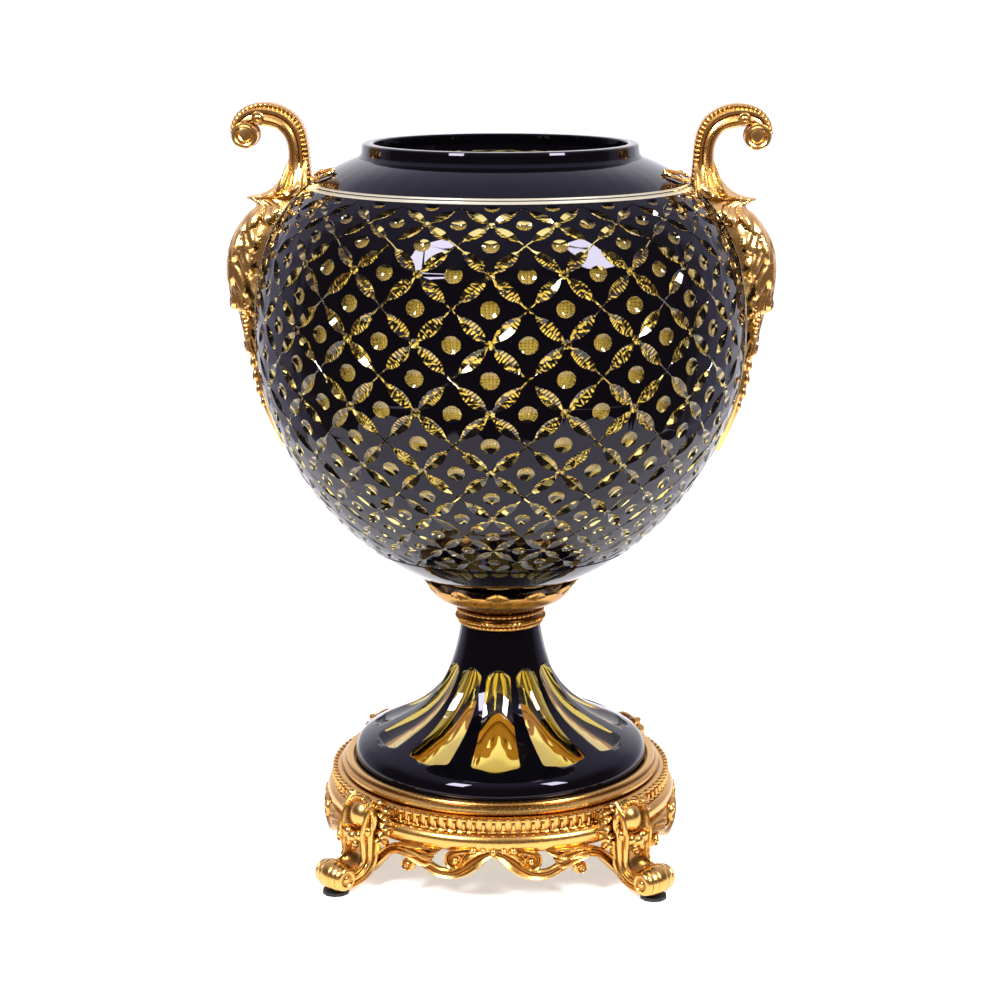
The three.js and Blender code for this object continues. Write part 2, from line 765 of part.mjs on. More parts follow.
// A small tongue that curls round the shoulder from the stem's foot.
function shoulderArmGeometry(side) {
  const rings = [];
  const steps = 4;
  const sides = 6;
  for (let i = 0; i <= steps; i++) {
    const share = i / steps;
    const turn = side * radians(armTipAngle) * share;
    const swell = lerp(1, 0.55, share ** 3);
    const middle = armReach + armRootRun * (1 - share) ** 3;
    const centreHeight = shoulderHeightAt(armReach) + armHalfHeight + 2 * seatGap;
    const ring = [];
    for (let k = 0; k < sides; k++) {
      const around = (k / sides) * 2 * Math.PI;
      const radius = middle + Math.cos(around) * armHalfWidth * swell;
      const height = centreHeight + Math.sin(around) * armHalfHeight * swell - armFall * (radius - armReach);
      ring.push(turned(radius, height, turn));
    }
    rings.push(ring);
  }
  return loft(rings);
}

function handleGeometry() {
  const eye = new THREE.CylinderGeometry(scrollEyeRadius, scrollEyeRadius, scrollWidth, 14);
  const centre = scrollEye();
  const bossWidth = scrollWidth + 2 * scrollBossStand;
  const boss = new THREE.CylinderGeometry(scrollBossRadius, scrollBossRadius, bossWidth, 8);
  for (const part of [eye, boss]) part.translate(centre.reach, 0, centre.height);
  const parts = [
    stemGeometry(),
    facingOutSoup(eye),
    facingOutSoup(boss),
    sideLeafGeometry(),
    shoulderArmGeometry(1),
    shoulderArmGeometry(-1),
  ];
  return joined(parts).simplify(sliverSize);
}

// Finishes
const blackCrystal = new THREE.MeshStandardMaterial({ color: 0x0b0a0c, roughness: 0.06, metalness: 0 });
const giltBronze = new THREE.MeshStandardMaterial({ color: 0xd79a34, roughness: 0.28, metalness: 1 });
const blackRubber = new THREE.MeshStandardMaterial({ color: 0x141414, roughness: 0.8, metalness: 0 });

function piece(name, geometry, material) {
  const mesh = new THREE.Mesh(geometry, material);
  mesh.name = name;
  return mesh;
}

const object = new THREE.Group();
object.add(piece("bowl", bowlGeometry(), blackCrystal));
object.add(piece("foot", footGeometry(), blackCrystal));
object.add(piece("collar", collarGeometry(), giltBronze));
object.add(piece("stand", standGeometry(), giltBronze));

const handle = handleGeometry();
object.add(piece("handle_right", toGeometry(handle), giltBronze));
const turnedHandle = new THREE.Group();
turnedHandle.rotation.z = Math.PI;
turnedHandle.add(piece("handle_left", toGeometry(handle), giltBronze));
object.add(turnedHandle);

const padNames = ["pad_back_right", "pad_back_left", "pad_front_left", "pad_front_right"];
padNames.forEach((name, i) => {
  const pad = piece(name, padGeometry(), blackRubber);
  const angle = ((i + 0.5) / legCount) * 2 * Math.PI;
  pad.position.set(padReach * Math.cos(angle), padReach * Math.sin(angle), 0);
  object.add(pad);
});

export default object;
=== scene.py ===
import bpy, bmesh
from math import asin, atan2, copysign, cos, degrees, exp, hypot, pi, radians, sin, sqrt, tau
from mathutils import Vector, Matrix


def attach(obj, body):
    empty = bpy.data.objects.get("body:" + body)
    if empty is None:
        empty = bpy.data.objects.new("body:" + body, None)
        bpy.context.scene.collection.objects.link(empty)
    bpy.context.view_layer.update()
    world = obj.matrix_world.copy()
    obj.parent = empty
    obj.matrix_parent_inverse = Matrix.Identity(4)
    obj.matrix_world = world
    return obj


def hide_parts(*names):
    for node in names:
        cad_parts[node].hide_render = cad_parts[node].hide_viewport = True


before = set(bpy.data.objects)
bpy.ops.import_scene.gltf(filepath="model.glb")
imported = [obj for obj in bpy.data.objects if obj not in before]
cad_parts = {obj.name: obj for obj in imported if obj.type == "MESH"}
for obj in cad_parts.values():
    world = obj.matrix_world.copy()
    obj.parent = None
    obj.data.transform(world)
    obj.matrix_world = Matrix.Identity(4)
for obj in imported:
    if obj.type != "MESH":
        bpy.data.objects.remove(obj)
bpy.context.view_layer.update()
mm = 0.001


# small helpers

def lerp(a, b, share):
    return a + (b - a) * share


def clamp(value, low=0.0, high=1.0):
    return max(low, min(high, value))


def reading(table, place):  # straight-line reading of (place, value) pairs
    if place <= table[0][0]:
        return table[0][1]
    for (a, va), (b, vb) in zip(table, table[1:]):
        if place <= b:
            return lerp(va, vb, (place - a) / (b - a))
    return table[-1][1]


def smoothPath(points, steps):  # Catmull-Rom through the points, steps per gap
    points = [Vector(p) for p in points]
    ends = [points[0] * 2 - points[1]] + points + [points[-1] * 2 - points[-2]]
    path = []
    for i in range(1, len(ends) - 2):
        a, b, c, d = ends[i - 1:i + 3]
        for k in range(steps):
            t = k / steps
            bend = (2 * a - 5 * b + 4 * c - d) * t ** 2 + (3 * b - a - 3 * c + d) * t ** 3
            path.append(0.5 * ((2 * b) + (c - a) * t + bend))
    return path + [points[-1]]


def heading(path, i):  # the way the path runs at its point i
    return (path[min(i + 1, len(path) - 1)] - path[max(i - 1, 0)]).normalized()


def ringPoint(radius, height, angle):  # angle 0 faces front, in degrees, positive to the right
    turn = radians(angle)
    return Vector((radius * sin(turn), -radius * cos(turn), height))


def placed(name, data):
    made = bpy.data.objects.new(name, data)
    bpy.context.collection.objects.link(made)
    return made


# node helpers

def node(tree, kind, inputs=(), **settings):  # inputs are plain values or the sockets that feed them
    made = tree.nodes.new(kind)
    for key, value in settings.items():
        setattr(made, key, value)
    for name, value in dict(inputs).items():
        if isinstance(value, bpy.types.NodeSocket):
            tree.links.new(value, made.inputs[name])
        else:
            made.inputs[name].default_value = value
    return made


def mathNode(tree, operation, *values):
    return node(tree, "ShaderNodeMath", enumerate(values), operation=operation).outputs[0]


def mixedColor(tree, factor, first, second):
    return node(tree, "ShaderNodeMix", {0: factor, 6: first, 7: second}, data_type="RGBA").outputs[2]


def nodeGroup(name, kind, inputs, outputs):  # an empty group with its named sockets, and what it is given
    tree = bpy.data.node_groups.new(name, kind + "NodeTree")
    for way, sockets in (("INPUT", inputs), ("OUTPUT", outputs)):
        for label, sort in sockets.items():
            tree.interface.new_socket(label, in_out=way, socket_type="NodeSocket" + sort)
    return tree, tree.nodes.new("NodeGroupInput").outputs


# the gilt look that every gilt piece shares: painted shade that darkens the hollows while the ridges keep the plain
# gilt, slow patches of tone and a fine grain
def giltGrainAndShadeGroup():
    tree, given = nodeGroup("giltGrainAndPaintedShade", "Shader",
                            {"Gilt": "Color", "PaintedShade": "Color", "Grain": "Float", "Depth": "Float"},
                            {"Color": "Color", "Roughness": "Float", "Height": "Float"})
    place = node(tree, "ShaderNodeTexCoord").outputs["Object"]
    fine = node(tree, "ShaderNodeTexNoise", dict(Vector=place, Scale=given["Grain"], Detail=4)).outputs["Fac"]
    broad = node(tree, "ShaderNodeTexNoise", dict(Vector=place, Scale=60, Detail=2)).outputs["Fac"]
    point = node(tree, "ShaderNodeNewGeometry").outputs["Pointiness"]
    # painted shade: the less pointed the surface, the nearer its colour comes to the dark hollow colour
    ridge = node(tree, "ShaderNodeMapRange", {"Value": point, "From Min": given["Depth"], "From Max": 0.515},
                 interpolation_type="SMOOTHSTEP").outputs["Result"]
    patches = mathNode(tree, "MULTIPLY", mathNode(tree, "SUBTRACT", broad, 0.5), 0.5)
    node(tree, "NodeGroupOutput", dict(
        Color=mixedColor(tree, mathNode(tree, "ADD", ridge, patches), given["PaintedShade"], given["Gilt"]),
        Roughness=mathNode(tree, "ADD", mathNode(tree, "MULTIPLY", fine, 0.16), 0.17), Height=fine))
    return tree


# a hand-polished surface is never quite even: a slow wave for the normal and a little roughness
def polishGroup():
    tree, given = nodeGroup("polishedSurface", "Shader", dict(Scale="Float", Roughness="Float"),
                            dict(Height="Float", Roughness="Float"))
    place = node(tree, "ShaderNodeTexCoord").outputs["Object"]
    wave = node(tree, "ShaderNodeTexNoise", dict(Vector=place, Scale=given["Scale"], Detail=1.5)).outputs["Fac"]
    smear = node(tree, "ShaderNodeTexNoise", dict(Vector=place, Scale=35, Detail=3)).outputs["Fac"]
    rough = mathNode(tree, "MULTIPLY", mathNode(tree, "ADD", smear, 0.5), given["Roughness"])
    node(tree, "NodeGroupOutput", dict(Height=wave, Roughness=rough))
    return tree


giltGrainAndShade, polished = giltGrainAndShadeGroup(), polishGroup()


def surface(name, group, values, strength=0, distance=0):  # a shader whose roughness and bump come from a group
    material = bpy.data.materials.new(name)
    material.use_nodes = True
    tree = material.node_tree
    shader = next(n for n in tree.nodes if n.type == "BSDF_PRINCIPLED")
    look = node(tree, "ShaderNodeGroup", node_tree=group)
    for label, value in values.items():
        look.inputs[label].default_value = value
    tree.links.new(look.outputs["Roughness"], shader.inputs["Roughness"])
    if strength:
        height = look.outputs["Height"]
        bump = node(tree, "ShaderNodeBump", dict(Strength=strength, Distance=distance, Height=height))
        tree.links.new(bump.outputs["Normal"], shader.inputs["Normal"])
    return material, shader, look.outputs


# the hollow colour given to each gilt is painted shade
def giltMaterial(name, gilt, paintedShade, grain, depth):
    material, shader, look = surface(
        name, giltGrainAndShade, dict(Gilt=(*gilt, 1), PaintedShade=(*paintedShade, 1), Grain=grain, Depth=depth), 0.2, 0.00022)
    shader.inputs["Metallic"].default_value = 1
    material.node_tree.links.new(look["Color"], shader.inputs["Base Color"])
    return material


def crystalMaterial(name, color, roughness, waves, depth, seeThrough=True, specular=0.5, sheen=(1, 1, 1)):
    material, shader, look = surface(name, polished, dict(Scale=waves, Roughness=roughness), 0.3, depth)
    shader.inputs["Base Color"].default_value = (*color, 1)
    shader.inputs["IOR"].default_value = 1.52
    shader.inputs["Transmission Weight"].default_value = 1.0 if seeThrough else 0.0
    shader.inputs["Specular IOR Level"].default_value = specular
    shader.inputs["Specular Tint"].default_value = (*sheen, 1)
    return material


# the purple tint of the casing's reflections is painted, the colour of the studio's lavender light
blackSkin = crystalMaterial("blackCasing", (0.0014, 0.0012, 0.002), 0.03, 30, 0.00004,
                            seeThrough=False, specular=0.24, sheen=(0.84, 0.78, 1.0))
cutCrystal = crystalMaterial("cutCrystal", (0.95, 0.76, 0.24), 0.01, 400, 0.00002)
insideCrystal = crystalMaterial("insideCrystal", (0.96, 0.82, 0.36), 0.008, 40, 0.00002)
ringCrystal = crystalMaterial("matRingCut", (0.40, 0.365, 0.27), 0.35, 900, 0.0001, seeThrough=False)
footCut = crystalMaterial("footHollowCut", (0.70, 0.545, 0.10), 0.012, 120, 0.00002)
footInside = crystalMaterial("footInside", (0.70, 0.56, 0.15), 0.02, 60, 0.00002)
# one gilt in three copies: the handle's lighter copy is painted light, the collar's darker copy painted shade
giltBright = giltMaterial("giltBronze", (0.68, 0.395, 0.11), (0.20, 0.072, 0.013), 1100, 0.46)
giltHandle = giltMaterial("giltHandle", (0.92, 0.56, 0.19), (0.48, 0.22, 0.05), 800, 0.4)
giltCollar = giltMaterial("giltCollar", (0.52, 0.285, 0.075), (0.13, 0.045, 0.008), 1500, 0.47)
print("materials ready")


# turning geometry-node trees into plain meshes

def grown(name, tree, values, base=None):
    holder = placed(name, base or bpy.data.meshes.new(name))
    modifier = holder.modifiers.new("grow", "NODES")
    modifier.node_group = tree
    for item in tree.interface.items_tree:
        if item.item_type == "SOCKET" and item.in_out == "INPUT" and item.name in values:
            modifier[item.identifier] = values[item.name]
    holder.update_tag()
    bpy.context.view_layer.update()
    plain = bpy.data.meshes.new_from_object(holder.evaluated_get(bpy.context.evaluated_depsgraph_get()))
    bpy.data.objects.remove(holder)
    return plain


def instances(tree, points, shape, turn, size):  # the object on each point, realized
    thing = node(tree, "GeometryNodeObjectInfo", dict(Object=shape)).outputs["Geometry"]
    spots = dict(Points=points, Instance=thing, Rotation=turn, Scale=size)
    many = node(tree, "GeometryNodeInstanceOnPoints", spots).outputs["Instances"]
    return node(tree, "GeometryNodeRealizeInstances", dict(Geometry=many)).outputs["Geometry"]


def withFinish(tree, shape, finish, **where):
    return node(tree, "GeometryNodeSetMaterial", dict(Geometry=shape, Material=finish, **where)).outputs[0]


def euler(tree, *angles):
    turn = node(tree, "ShaderNodeCombineXYZ", enumerate(angles)).outputs[0]
    return node(tree, "FunctionNodeEulerToRotation", {0: turn}).outputs[0]


def meshOf(name, bm, materials=()):
    mesh = bpy.data.meshes.new(name)
    bm.to_mesh(mesh)
    bm.free()
    for material in materials:
        mesh.materials.append(material)
    return mesh


def templateObject(name, bm):
    made = placed(name, meshOf(name, bm))
    made.hide_render = True
    return made


def handIn(name, mesh, replaced, angle):
    mesh.shade_smooth()
    mesh.set_sharp_from_angle(angle=radians(angle))
    piece = placed(name, mesh)
    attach(piece, "root")
    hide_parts(replaced)
    print(name, "faces", len(mesh.polygons), "triangles", sum(len(p.vertices) - 2 for p in mesh.polygons))


def finished(name, bm, materials, replaced, angle=32):
    bmesh.ops.remove_doubles(bm, verts=bm.verts, dist=2e-6)
    bmesh.ops.recalc_face_normals(bm, faces=bm.faces)
    handIn(name, meshOf(name, bm, materials), replaced, angle)


# mesh builders that add to a bmesh

def addGrid(bm, rows, capped=True):  # rows of closed rings of points
    verts = [[bm.verts.new(p) for p in row] for row in rows]
    count = len(rows[0])
    for upper, lower in zip(verts, verts[1:]):
        for i in range(count):
            k = (i + 1) % count
            bm.faces.new((upper[i], lower[i], lower[k], upper[k]))
    for ring, points in ((verts[0], rows[0]), (verts[-1], rows[-1])) if capped else ():
        middle = bm.verts.new(sum((Vector(p) for p in points), Vector()) / count)
        for i in range(count):
            bm.faces.new((ring[i], ring[(i + 1) % count], middle))


def addLathe(bm, profile, segments):  # profile of (radius, height) in mm
    rows = [[ringPoint(r * mm, z * mm, 360 * i / segments) for i in range(segments)] for r, z in profile]
    addGrid(bm, rows, capped=False)


def addTube(bm, path, radius, sides=10, up=Vector((0, 1, 0))):
    rows = []
    for i, point in enumerate(path):
        along = heading(path, i)
        side = along.cross(up).normalized()
        top = side.cross(along).normalized()
        rows.append([point + side * cos(tau * k / sides) * radius + top * sin(tau * k / sides) * radius
                     for k in range(sides)])
    addGrid(bm, rows)


def addBall(bm, centre, radius, stretch=(1, 1, 1), turn=0.0, detail=(10, 7)):
    matrix = Matrix.Translation(centre) @ Matrix.Rotation(turn, 4, "Z") @ Matrix.Diagonal((*stretch, 1))
    bmesh.ops.create_uvsphere(bm, u_segments=detail[0], v_segments=detail[1], radius=radius, matrix=matrix)


# bowl

bowl = dict(
    radius=127.6, widest=278.0, rise=102.7, risePower=2.72, drop=137.0, dropPower=1.84,
    wall=5.4, floorWall=9.0, darkInside=350, sharpAngle=14,
    columns=22, latticeTop=355.6, firstFlower=348.0, rowShares=(0.68, 0.86), rowShare=0.915, rows=15,
    samples=600,
    # radius, depth below the shoulder's curve, and which glass; the dips are the ring's two grooves
    shoulder=((100.3, 0, 0), (99.7, 0, 0), (99.2, 0.6, 1), (98.5, 0.6, 1), (98.1, 0.1, 1), (97.5, 0.1, 0),
        (97.2, 0.4, 1), (96.8, 0.4, 1), (96.5, 0, 1), (92.5, 0, 0), (88.5, 0, 0), (84.5, 0, 0),
        (80.5, 0, 0), (77.2, 0, 0), (75, 0, 0)),
    # radius, height and which glass, up the neck, over the rim and in
    mouth=((73.3, 371.7, 0), (72.4, 372.6, 0), (71.8, 373.4, 0), (71.5, 374.6, 0), (71.3, 377.4, 0),
        (70.9, 378.5, 0), (70, 379, 0), (67, 379, 0), (66.1, 379, 1), (65.4, 378.4, 0), (66.4, 373.5, 0)),
)
cut = dict(
    flower=0.135, flowerDepth=0.7, leafStart=0.085, leafEnd=0.80, leafHalf=0.19, leafDepth=1.75,
    line=0.027, lineDepth=0.45, dot=0.255, dotDepth=1.45,
    flowerSpine=((0, 0), (15, 0.035), (29, 0.07)),
    leafSpine=(0.15, 0.22, 0.30, 0.39, 0.48, 0.57, 0.65, 0.72, 0.77, 0.80),
)


def bowlRadius(z):
    above = z > bowl["widest"]
    share = abs(z - bowl["widest"]) / (bowl["rise"] if above else bowl["drop"])
    power = bowl["risePower"] if above else bowl["dropPower"]
    return bowl["radius"] * max(0.0, 1 - share ** power) ** (1 / power)


def shoulderHeight(r):
    share = 1 - (r / bowl["radius"]) ** bowl["risePower"]
    return bowl["widest"] + bowl["rise"] * max(0.0, share) ** (1 / bowl["risePower"])


def undersideHeight(r):
    share = 1 - (r / bowl["radius"]) ** bowl["dropPower"]
    return bowl["widest"] - bowl["drop"] * max(0.0, share) ** (1 / bowl["dropPower"])


def latticeRows():
    # t is the distance down the surface over the radius, so equal steps keep the cells square
    step, z, t = 0.05, bowl["latticeTop"], 0.0
    column = pi / bowl["columns"]
    track = [(0.0, z)]
    shares = list(bowl["rowShares"]) + [bowl["rowShare"]] * (bowl["rows"] - 3)
    edges, wanted = [0.0], None
    while len(edges) < bowl["rows"] + 1:
        r = bowlRadius(z)
        t += hypot(step, bowlRadius(z - step) - r) / r
        z -= step
        track.append((t, z))
        if wanted is None and z <= bowl["firstFlower"]:
            edges.append(t)
            wanted = t + shares.pop(0) * column
        elif wanted is not None and t >= wanted:
            edges.append(wanted)
            wanted += (shares.pop(0) if shares else bowl["rowShare"]) * column
    return edges, track


def latticeTile():
    bm = bmesh.new()
    kind = bm.faces.layers.int.new("kind")
    root = sqrt(2)
    edge, spine = [], []
    for angle, along in cut["flowerSpine"]:
        turn = radians(angle)
        edge.append((cut["flower"] * cos(turn), cut["flower"] * sin(turn)))
        spine.append((along, max(cut["flowerDepth"] * (1 - (along * root / cut["flower"]) ** 2), 0.12)))
    for along in cut["leafSpine"]:
        share = (along - cut["leafStart"]) / (cut["leafEnd"] - cut["leafStart"])
        half = max(cut["line"], cut["leafHalf"] * max(0.0, 1 - (2 * share - 1) ** 2) ** 0.85)
        edge.append((along + half / root, along - half / root))
        spine.append((along, max(cut["leafDepth"] * half / cut["leafHalf"], cut["lineDepth"])))
    edge.append((1.0, 1 - cut["line"] * root))
    spine.append((1.0, cut["lineDepth"]))
    last = len(edge) - 1
    for swap in (False, True):
        def vert(u, v, depth):
            u, v = (v, u) if swap else (u, v)
            return bm.verts.new((u - 0.5, v - 0.5, -depth * mm))

        def face(corners, value):
            made = bm.faces.new(corners)
            made[kind] = value

        low = [vert(s, s, d) for s, d in spine]
        side = [vert(u, v, 0) for u, v in edge]
        rings = []
        for share in (1.0, 0.7, 0.36):
            ring = []
            for i in range(last + 1):
                angle = (i / last) * pi / 2
                reach, depth = cut["dot"] * share, cut["dotDepth"] * (1 - share ** 2)
                ring.append(vert(1 - reach * cos(angle), reach * sin(angle), depth))
            rings.append(ring)
        centre = vert(1, 0, cut["dotDepth"])
        for i in range(last):
            face((low[i], low[i + 1], side[i + 1], side[i]), 2 if i < 2 else 1)
            face((side[i], side[i + 1], rings[0][i + 1], rings[0][i]), 0)
            for outer, inner in zip(rings, rings[1:]):
                face((outer[i], outer[i + 1], inner[i + 1], inner[i]), 2)
            face((rings[-1][i], rings[-1][i + 1], centre), 2)
    return templateObject("latticeTile", bm)


def latticeTree():
    # sets the tile on each cell, turned so that like corners meet, and wraps the sheet round the bowl
    tree, given = nodeGroup("latticeOnBowl", "Geometry", {
        "Geometry": "Geometry", "Tile": "Object", "Profile": "Object", "Columns": "Int",
        "Widest radius": "Float", "Skin": "Material", "Cut": "Material"}, dict(Geometry="Geometry"))

    def attribute(name, kind="FLOAT"):
        made = node(tree, "GeometryNodeInputNamedAttribute", dict(Name=name), data_type=kind)
        return made.outputs["Attribute"]

    def vector(*values):
        return node(tree, "ShaderNodeCombineXYZ", enumerate(values)).outputs[0]

    def split(source):
        return node(tree, "ShaderNodeSeparateXYZ", {0: source}).outputs

    def times(*values):
        return mathNode(tree, "MULTIPLY", *values)

    def plus(*values):
        return mathNode(tree, "ADD", *values)

    mirrored = mathNode(tree, "SUBTRACT", 1, times(attribute("mirrored"), 2))
    turned = euler(tree, 0, 0, times(attribute("turned"), pi))
    sheet = instances(tree, given["Geometry"], given["Tile"], turned, vector(mirrored, attribute("rowHeight"), 1))
    flat = split(node(tree, "GeometryNodeInputPosition").outputs[0])
    profile = node(tree, "GeometryNodeObjectInfo", dict(Object=given["Profile"])).outputs["Geometry"]
    whole = mathNode(tree, "FLOOR", plus(flat["Y"], 0.0005))
    part = mathNode(tree, "SUBTRACT", flat["Y"], whole)

    def sampled(name):  # reads the profile between its two nearest samples
        ends = []
        for offset in (0, 1):
            sample = node(tree, "GeometryNodeSampleIndex", data_type="FLOAT_VECTOR", clamp=True)
            feeds = dict(Geometry=profile, Value=attribute(name, "FLOAT_VECTOR"), Index=plus(whole, offset))
            for label, source in feeds.items():
                tree.links.new(source, sample.inputs[label])
            ends.append(sample.outputs["Value"])
        blend = node(tree, "ShaderNodeMix", {0: part, 4: ends[0], 5: ends[1]}, data_type="VECTOR")
        return split(blend.outputs[1])

    curve, outward = sampled("onCurve"), sampled("outward")
    depth = times(flat["Z"], mathNode(tree, "DIVIDE", curve["X"], given["Widest radius"]))
    radius = plus(curve["X"], times(outward["X"], depth))
    height = plus(curve["Z"], times(outward["Z"], depth))
    angle = mathNode(tree, "DIVIDE", times(flat["X"], pi), given["Columns"])
    across = times(radius, mathNode(tree, "SINE", angle))
    back = times(times(radius, mathNode(tree, "COSINE", angle)), -1)
    wrap = node(tree, "GeometryNodeSetPosition", dict(Geometry=sheet, Position=vector(across, back, height)))
    merge = node(tree, "GeometryNodeMergeByDistance", dict(Geometry=wrap.outputs[0], Distance=0.00002))
    isCut = node(tree, "FunctionNodeCompare", {2: attribute("kind", "INT")}, data_type="INT",
                 operation="GREATER_THAN").outputs[0]
    skinned = withFinish(tree, merge.outputs[0], given["Skin"])
    node(tree, "NodeGroupOutput", dict(Geometry=withFinish(tree, skinned, given["Cut"], Selection=isCut)))
    return tree


def latticeMesh():
    edges, track = latticeRows()
    total = edges[-1]
    scale = bowl["samples"] / total  # profile samples to one unit of t
    curve = bpy.data.meshes.new("bowlProfile")
    heights = [reading(track, total * i / bowl["samples"]) for i in range(bowl["samples"] + 2)]
    points, outs = [], []
    for z in heights:
        slope = (bowlRadius(z + 0.2) - bowlRadius(z - 0.2)) / 0.4
        length = hypot(1, slope)
        points.append((bowlRadius(z) * mm, 0, z * mm))
        outs.append((1 / length, 0, -slope / length))
    curve.from_pydata(points, [], [])
    for name, values in (("onCurve", points), ("outward", outs)):
        layer = curve.attributes.new(name, "FLOAT_VECTOR", "POINT")
        layer.data.foreach_set("vector", [x for p in values for x in p])
    profile = placed("bowlProfile", curve)

    cells = bpy.data.meshes.new("latticeCells")
    places, mirrored, turned, rowHeight = [], [], [], []
    for row in range(bowl["rows"]):
        top, bottom = edges[row] * scale, edges[row + 1] * scale
        for column in range(2 * bowl["columns"]):
            flowerTop = row % 2 == 1
            flowerLeft = column % 2 == 0  # flowers stand on even columns, one of them in front
            places.append((column + 0.5, (top + bottom) / 2, 0))
            turned.append(0.0 if flowerTop else 1.0)
            mirrored.append(0.0 if flowerTop == flowerLeft else 1.0)
            rowHeight.append(bottom - top)
    cells.from_pydata(places, [], [])
    for name, values in (("mirrored", mirrored), ("turned", turned), ("rowHeight", rowHeight)):
        cells.attributes.new(name, "FLOAT", "POINT").data.foreach_set("value", values)
    tile = latticeTile()
    mesh = grown("lattice", latticeTree(), {
        "Tile": tile, "Profile": profile, "Columns": bowl["columns"], "Widest radius": bowl["radius"] * mm,
        "Skin": blackSkin, "Cut": cutCrystal}, base=cells)
    for helper in (tile, profile):
        bpy.data.objects.remove(helper)
    return mesh, heights[-2]


def carryOn(bm, loop, levels):  # takes an open edge loop on through (radius, height, material) levels
    for radius, height, material in levels:
        made = bmesh.ops.extrude_edge_only(bm, edges=loop)["geom"]
        for vert in [g for g in made if isinstance(g, bmesh.types.BMVert)]:
            angle = atan2(vert.co.x, -vert.co.y)
            vert.co = (radius * mm * sin(angle), -radius * mm * cos(angle), height * mm)
        for face in [g for g in made if isinstance(g, bmesh.types.BMFace)]:
            face.material_index = material
        loop = [g for g in made if isinstance(g, bmesh.types.BMEdge) and len(g.link_faces) == 1]
    return loop


def closePole(bm, loop, height, material):
    centre = bm.verts.new((0, 0, height * mm))
    for edge in loop:
        bm.faces.new((*edge.verts, centre)).material_index = material


def quarter(radius, reach, power, start, stop, steps):  # (radius, rise) points on a superellipse quarter
    points = []
    for i in range(steps + 1):
        angle = radians(lerp(start, stop, i / steps))
        points.append((radius * abs(cos(angle)) ** (2 / power), reach * abs(sin(angle)) ** (2 / power)))
    return points


def buildBowl():
    mesh, lowest = latticeMesh()
    for material in (ringCrystal, insideCrystal):
        mesh.materials.append(material)
    skin, cutGlass, ringCut, inside = [
        mesh.materials.find(m.name) for m in (blackSkin, cutCrystal, ringCrystal, insideCrystal)]
    outside = (skin, ringCut)
    widest, risePower, dropPower = bowl["widest"], bowl["risePower"], bowl["dropPower"]
    bm = bmesh.new()
    bm.from_mesh(mesh)
    openEdges = [e for e in bm.edges if len(e.link_faces) == 1]
    upper = [e for e in openEdges if e.verts[0].co.z > widest * mm]
    lower = [e for e in openEdges if e.verts[0].co.z <= widest * mm]
    levels = [(radius, shoulderHeight(radius) - depth, outside[glass])
              for radius, depth, glass in bowl["shoulder"]]
    levels += [(radius, height, outside[glass]) for radius, height, glass in bowl["mouth"]]
    innerRadius, innerDrop = bowl["radius"] - bowl["wall"], bowl["drop"] - bowl["floorWall"]
    for radius, rise in quarter(innerRadius, bowl["rise"] - bowl["wall"], risePower, 70, 0, 9):
        levels.append((radius, widest + rise, skin if widest + rise > bowl["darkInside"] else inside))
    for radius, fall in quarter(innerRadius, innerDrop, dropPower, 0, 88, 11)[1:]:
        levels.append((radius, widest - fall, inside))
    closePole(bm, carryOn(bm, upper, levels), widest - innerDrop, inside)

    def under(down, sink=0.0):  # below the lattice, a little groove and then plain skin
        return bowlRadius(lowest - down) - sink, lowest - down + sink * 0.6

    levels = [(*under(0.7), skin), (*under(1.0, 0.45), cutGlass), (*under(1.5, 0.45), cutGlass),
              (*under(1.8), skin)]
    start = degrees(asin(min(1.0, ((widest - lowest + 3) / bowl["drop"]) ** (dropPower / 2))))
    for radius, fall in quarter(bowl["radius"], bowl["drop"], dropPower, start, 88.5, 9):
        levels.append((radius, widest - fall, skin))
    closePole(bm, carryOn(bm, lower, levels), widest - bowl["drop"], skin)
    bmesh.ops.recalc_face_normals(bm, faces=bm.faces)
    bm.to_mesh(mesh)
    bm.free()
    for name in [a.name for a in mesh.attributes if a.name in ("kind", "mirrored", "turned", "rowHeight")]:
        mesh.attributes.remove(mesh.attributes[name])
    handIn("cutCrystalBowl", mesh, "bowl", bowl["sharpAngle"])


buildBowl()
print("bowl ready")


# shapes set round a ring, or threaded along a path

def ringTree():
    tree, given = nodeGroup("shapesRoundRing", "Geometry", dict(
        Geometry="Geometry", Shape="Object", Count="Int", Radius="Float", Height="Float", Start="Float",
        Size="Float", Finish="Material"), dict(Geometry="Geometry"))
    share = mathNode(tree, "DIVIDE", node(tree, "GeometryNodeInputIndex").outputs[0], given["Count"])
    angle = mathNode(tree, "ADD", mathNode(tree, "MULTIPLY", share, tau), given["Start"])
    across = mathNode(tree, "MULTIPLY", given["Radius"], mathNode(tree, "SINE", angle))
    ahead = mathNode(tree, "MULTIPLY", given["Radius"], mathNode(tree, "COSINE", angle))
    back = mathNode(tree, "MULTIPLY", ahead, -1)
    place = node(tree, "ShaderNodeCombineXYZ", {0: across, 1: back, 2: given["Height"]})
    dots = node(tree, "GeometryNodePoints", dict(Count=given["Count"], Position=place.outputs[0])).outputs[0]
    shapes = instances(tree, dots, given["Shape"], euler(tree, 0, 0, angle), given["Size"])
    node(tree, "NodeGroupOutput", dict(Geometry=withFinish(tree, shapes, given["Finish"])))
    return tree


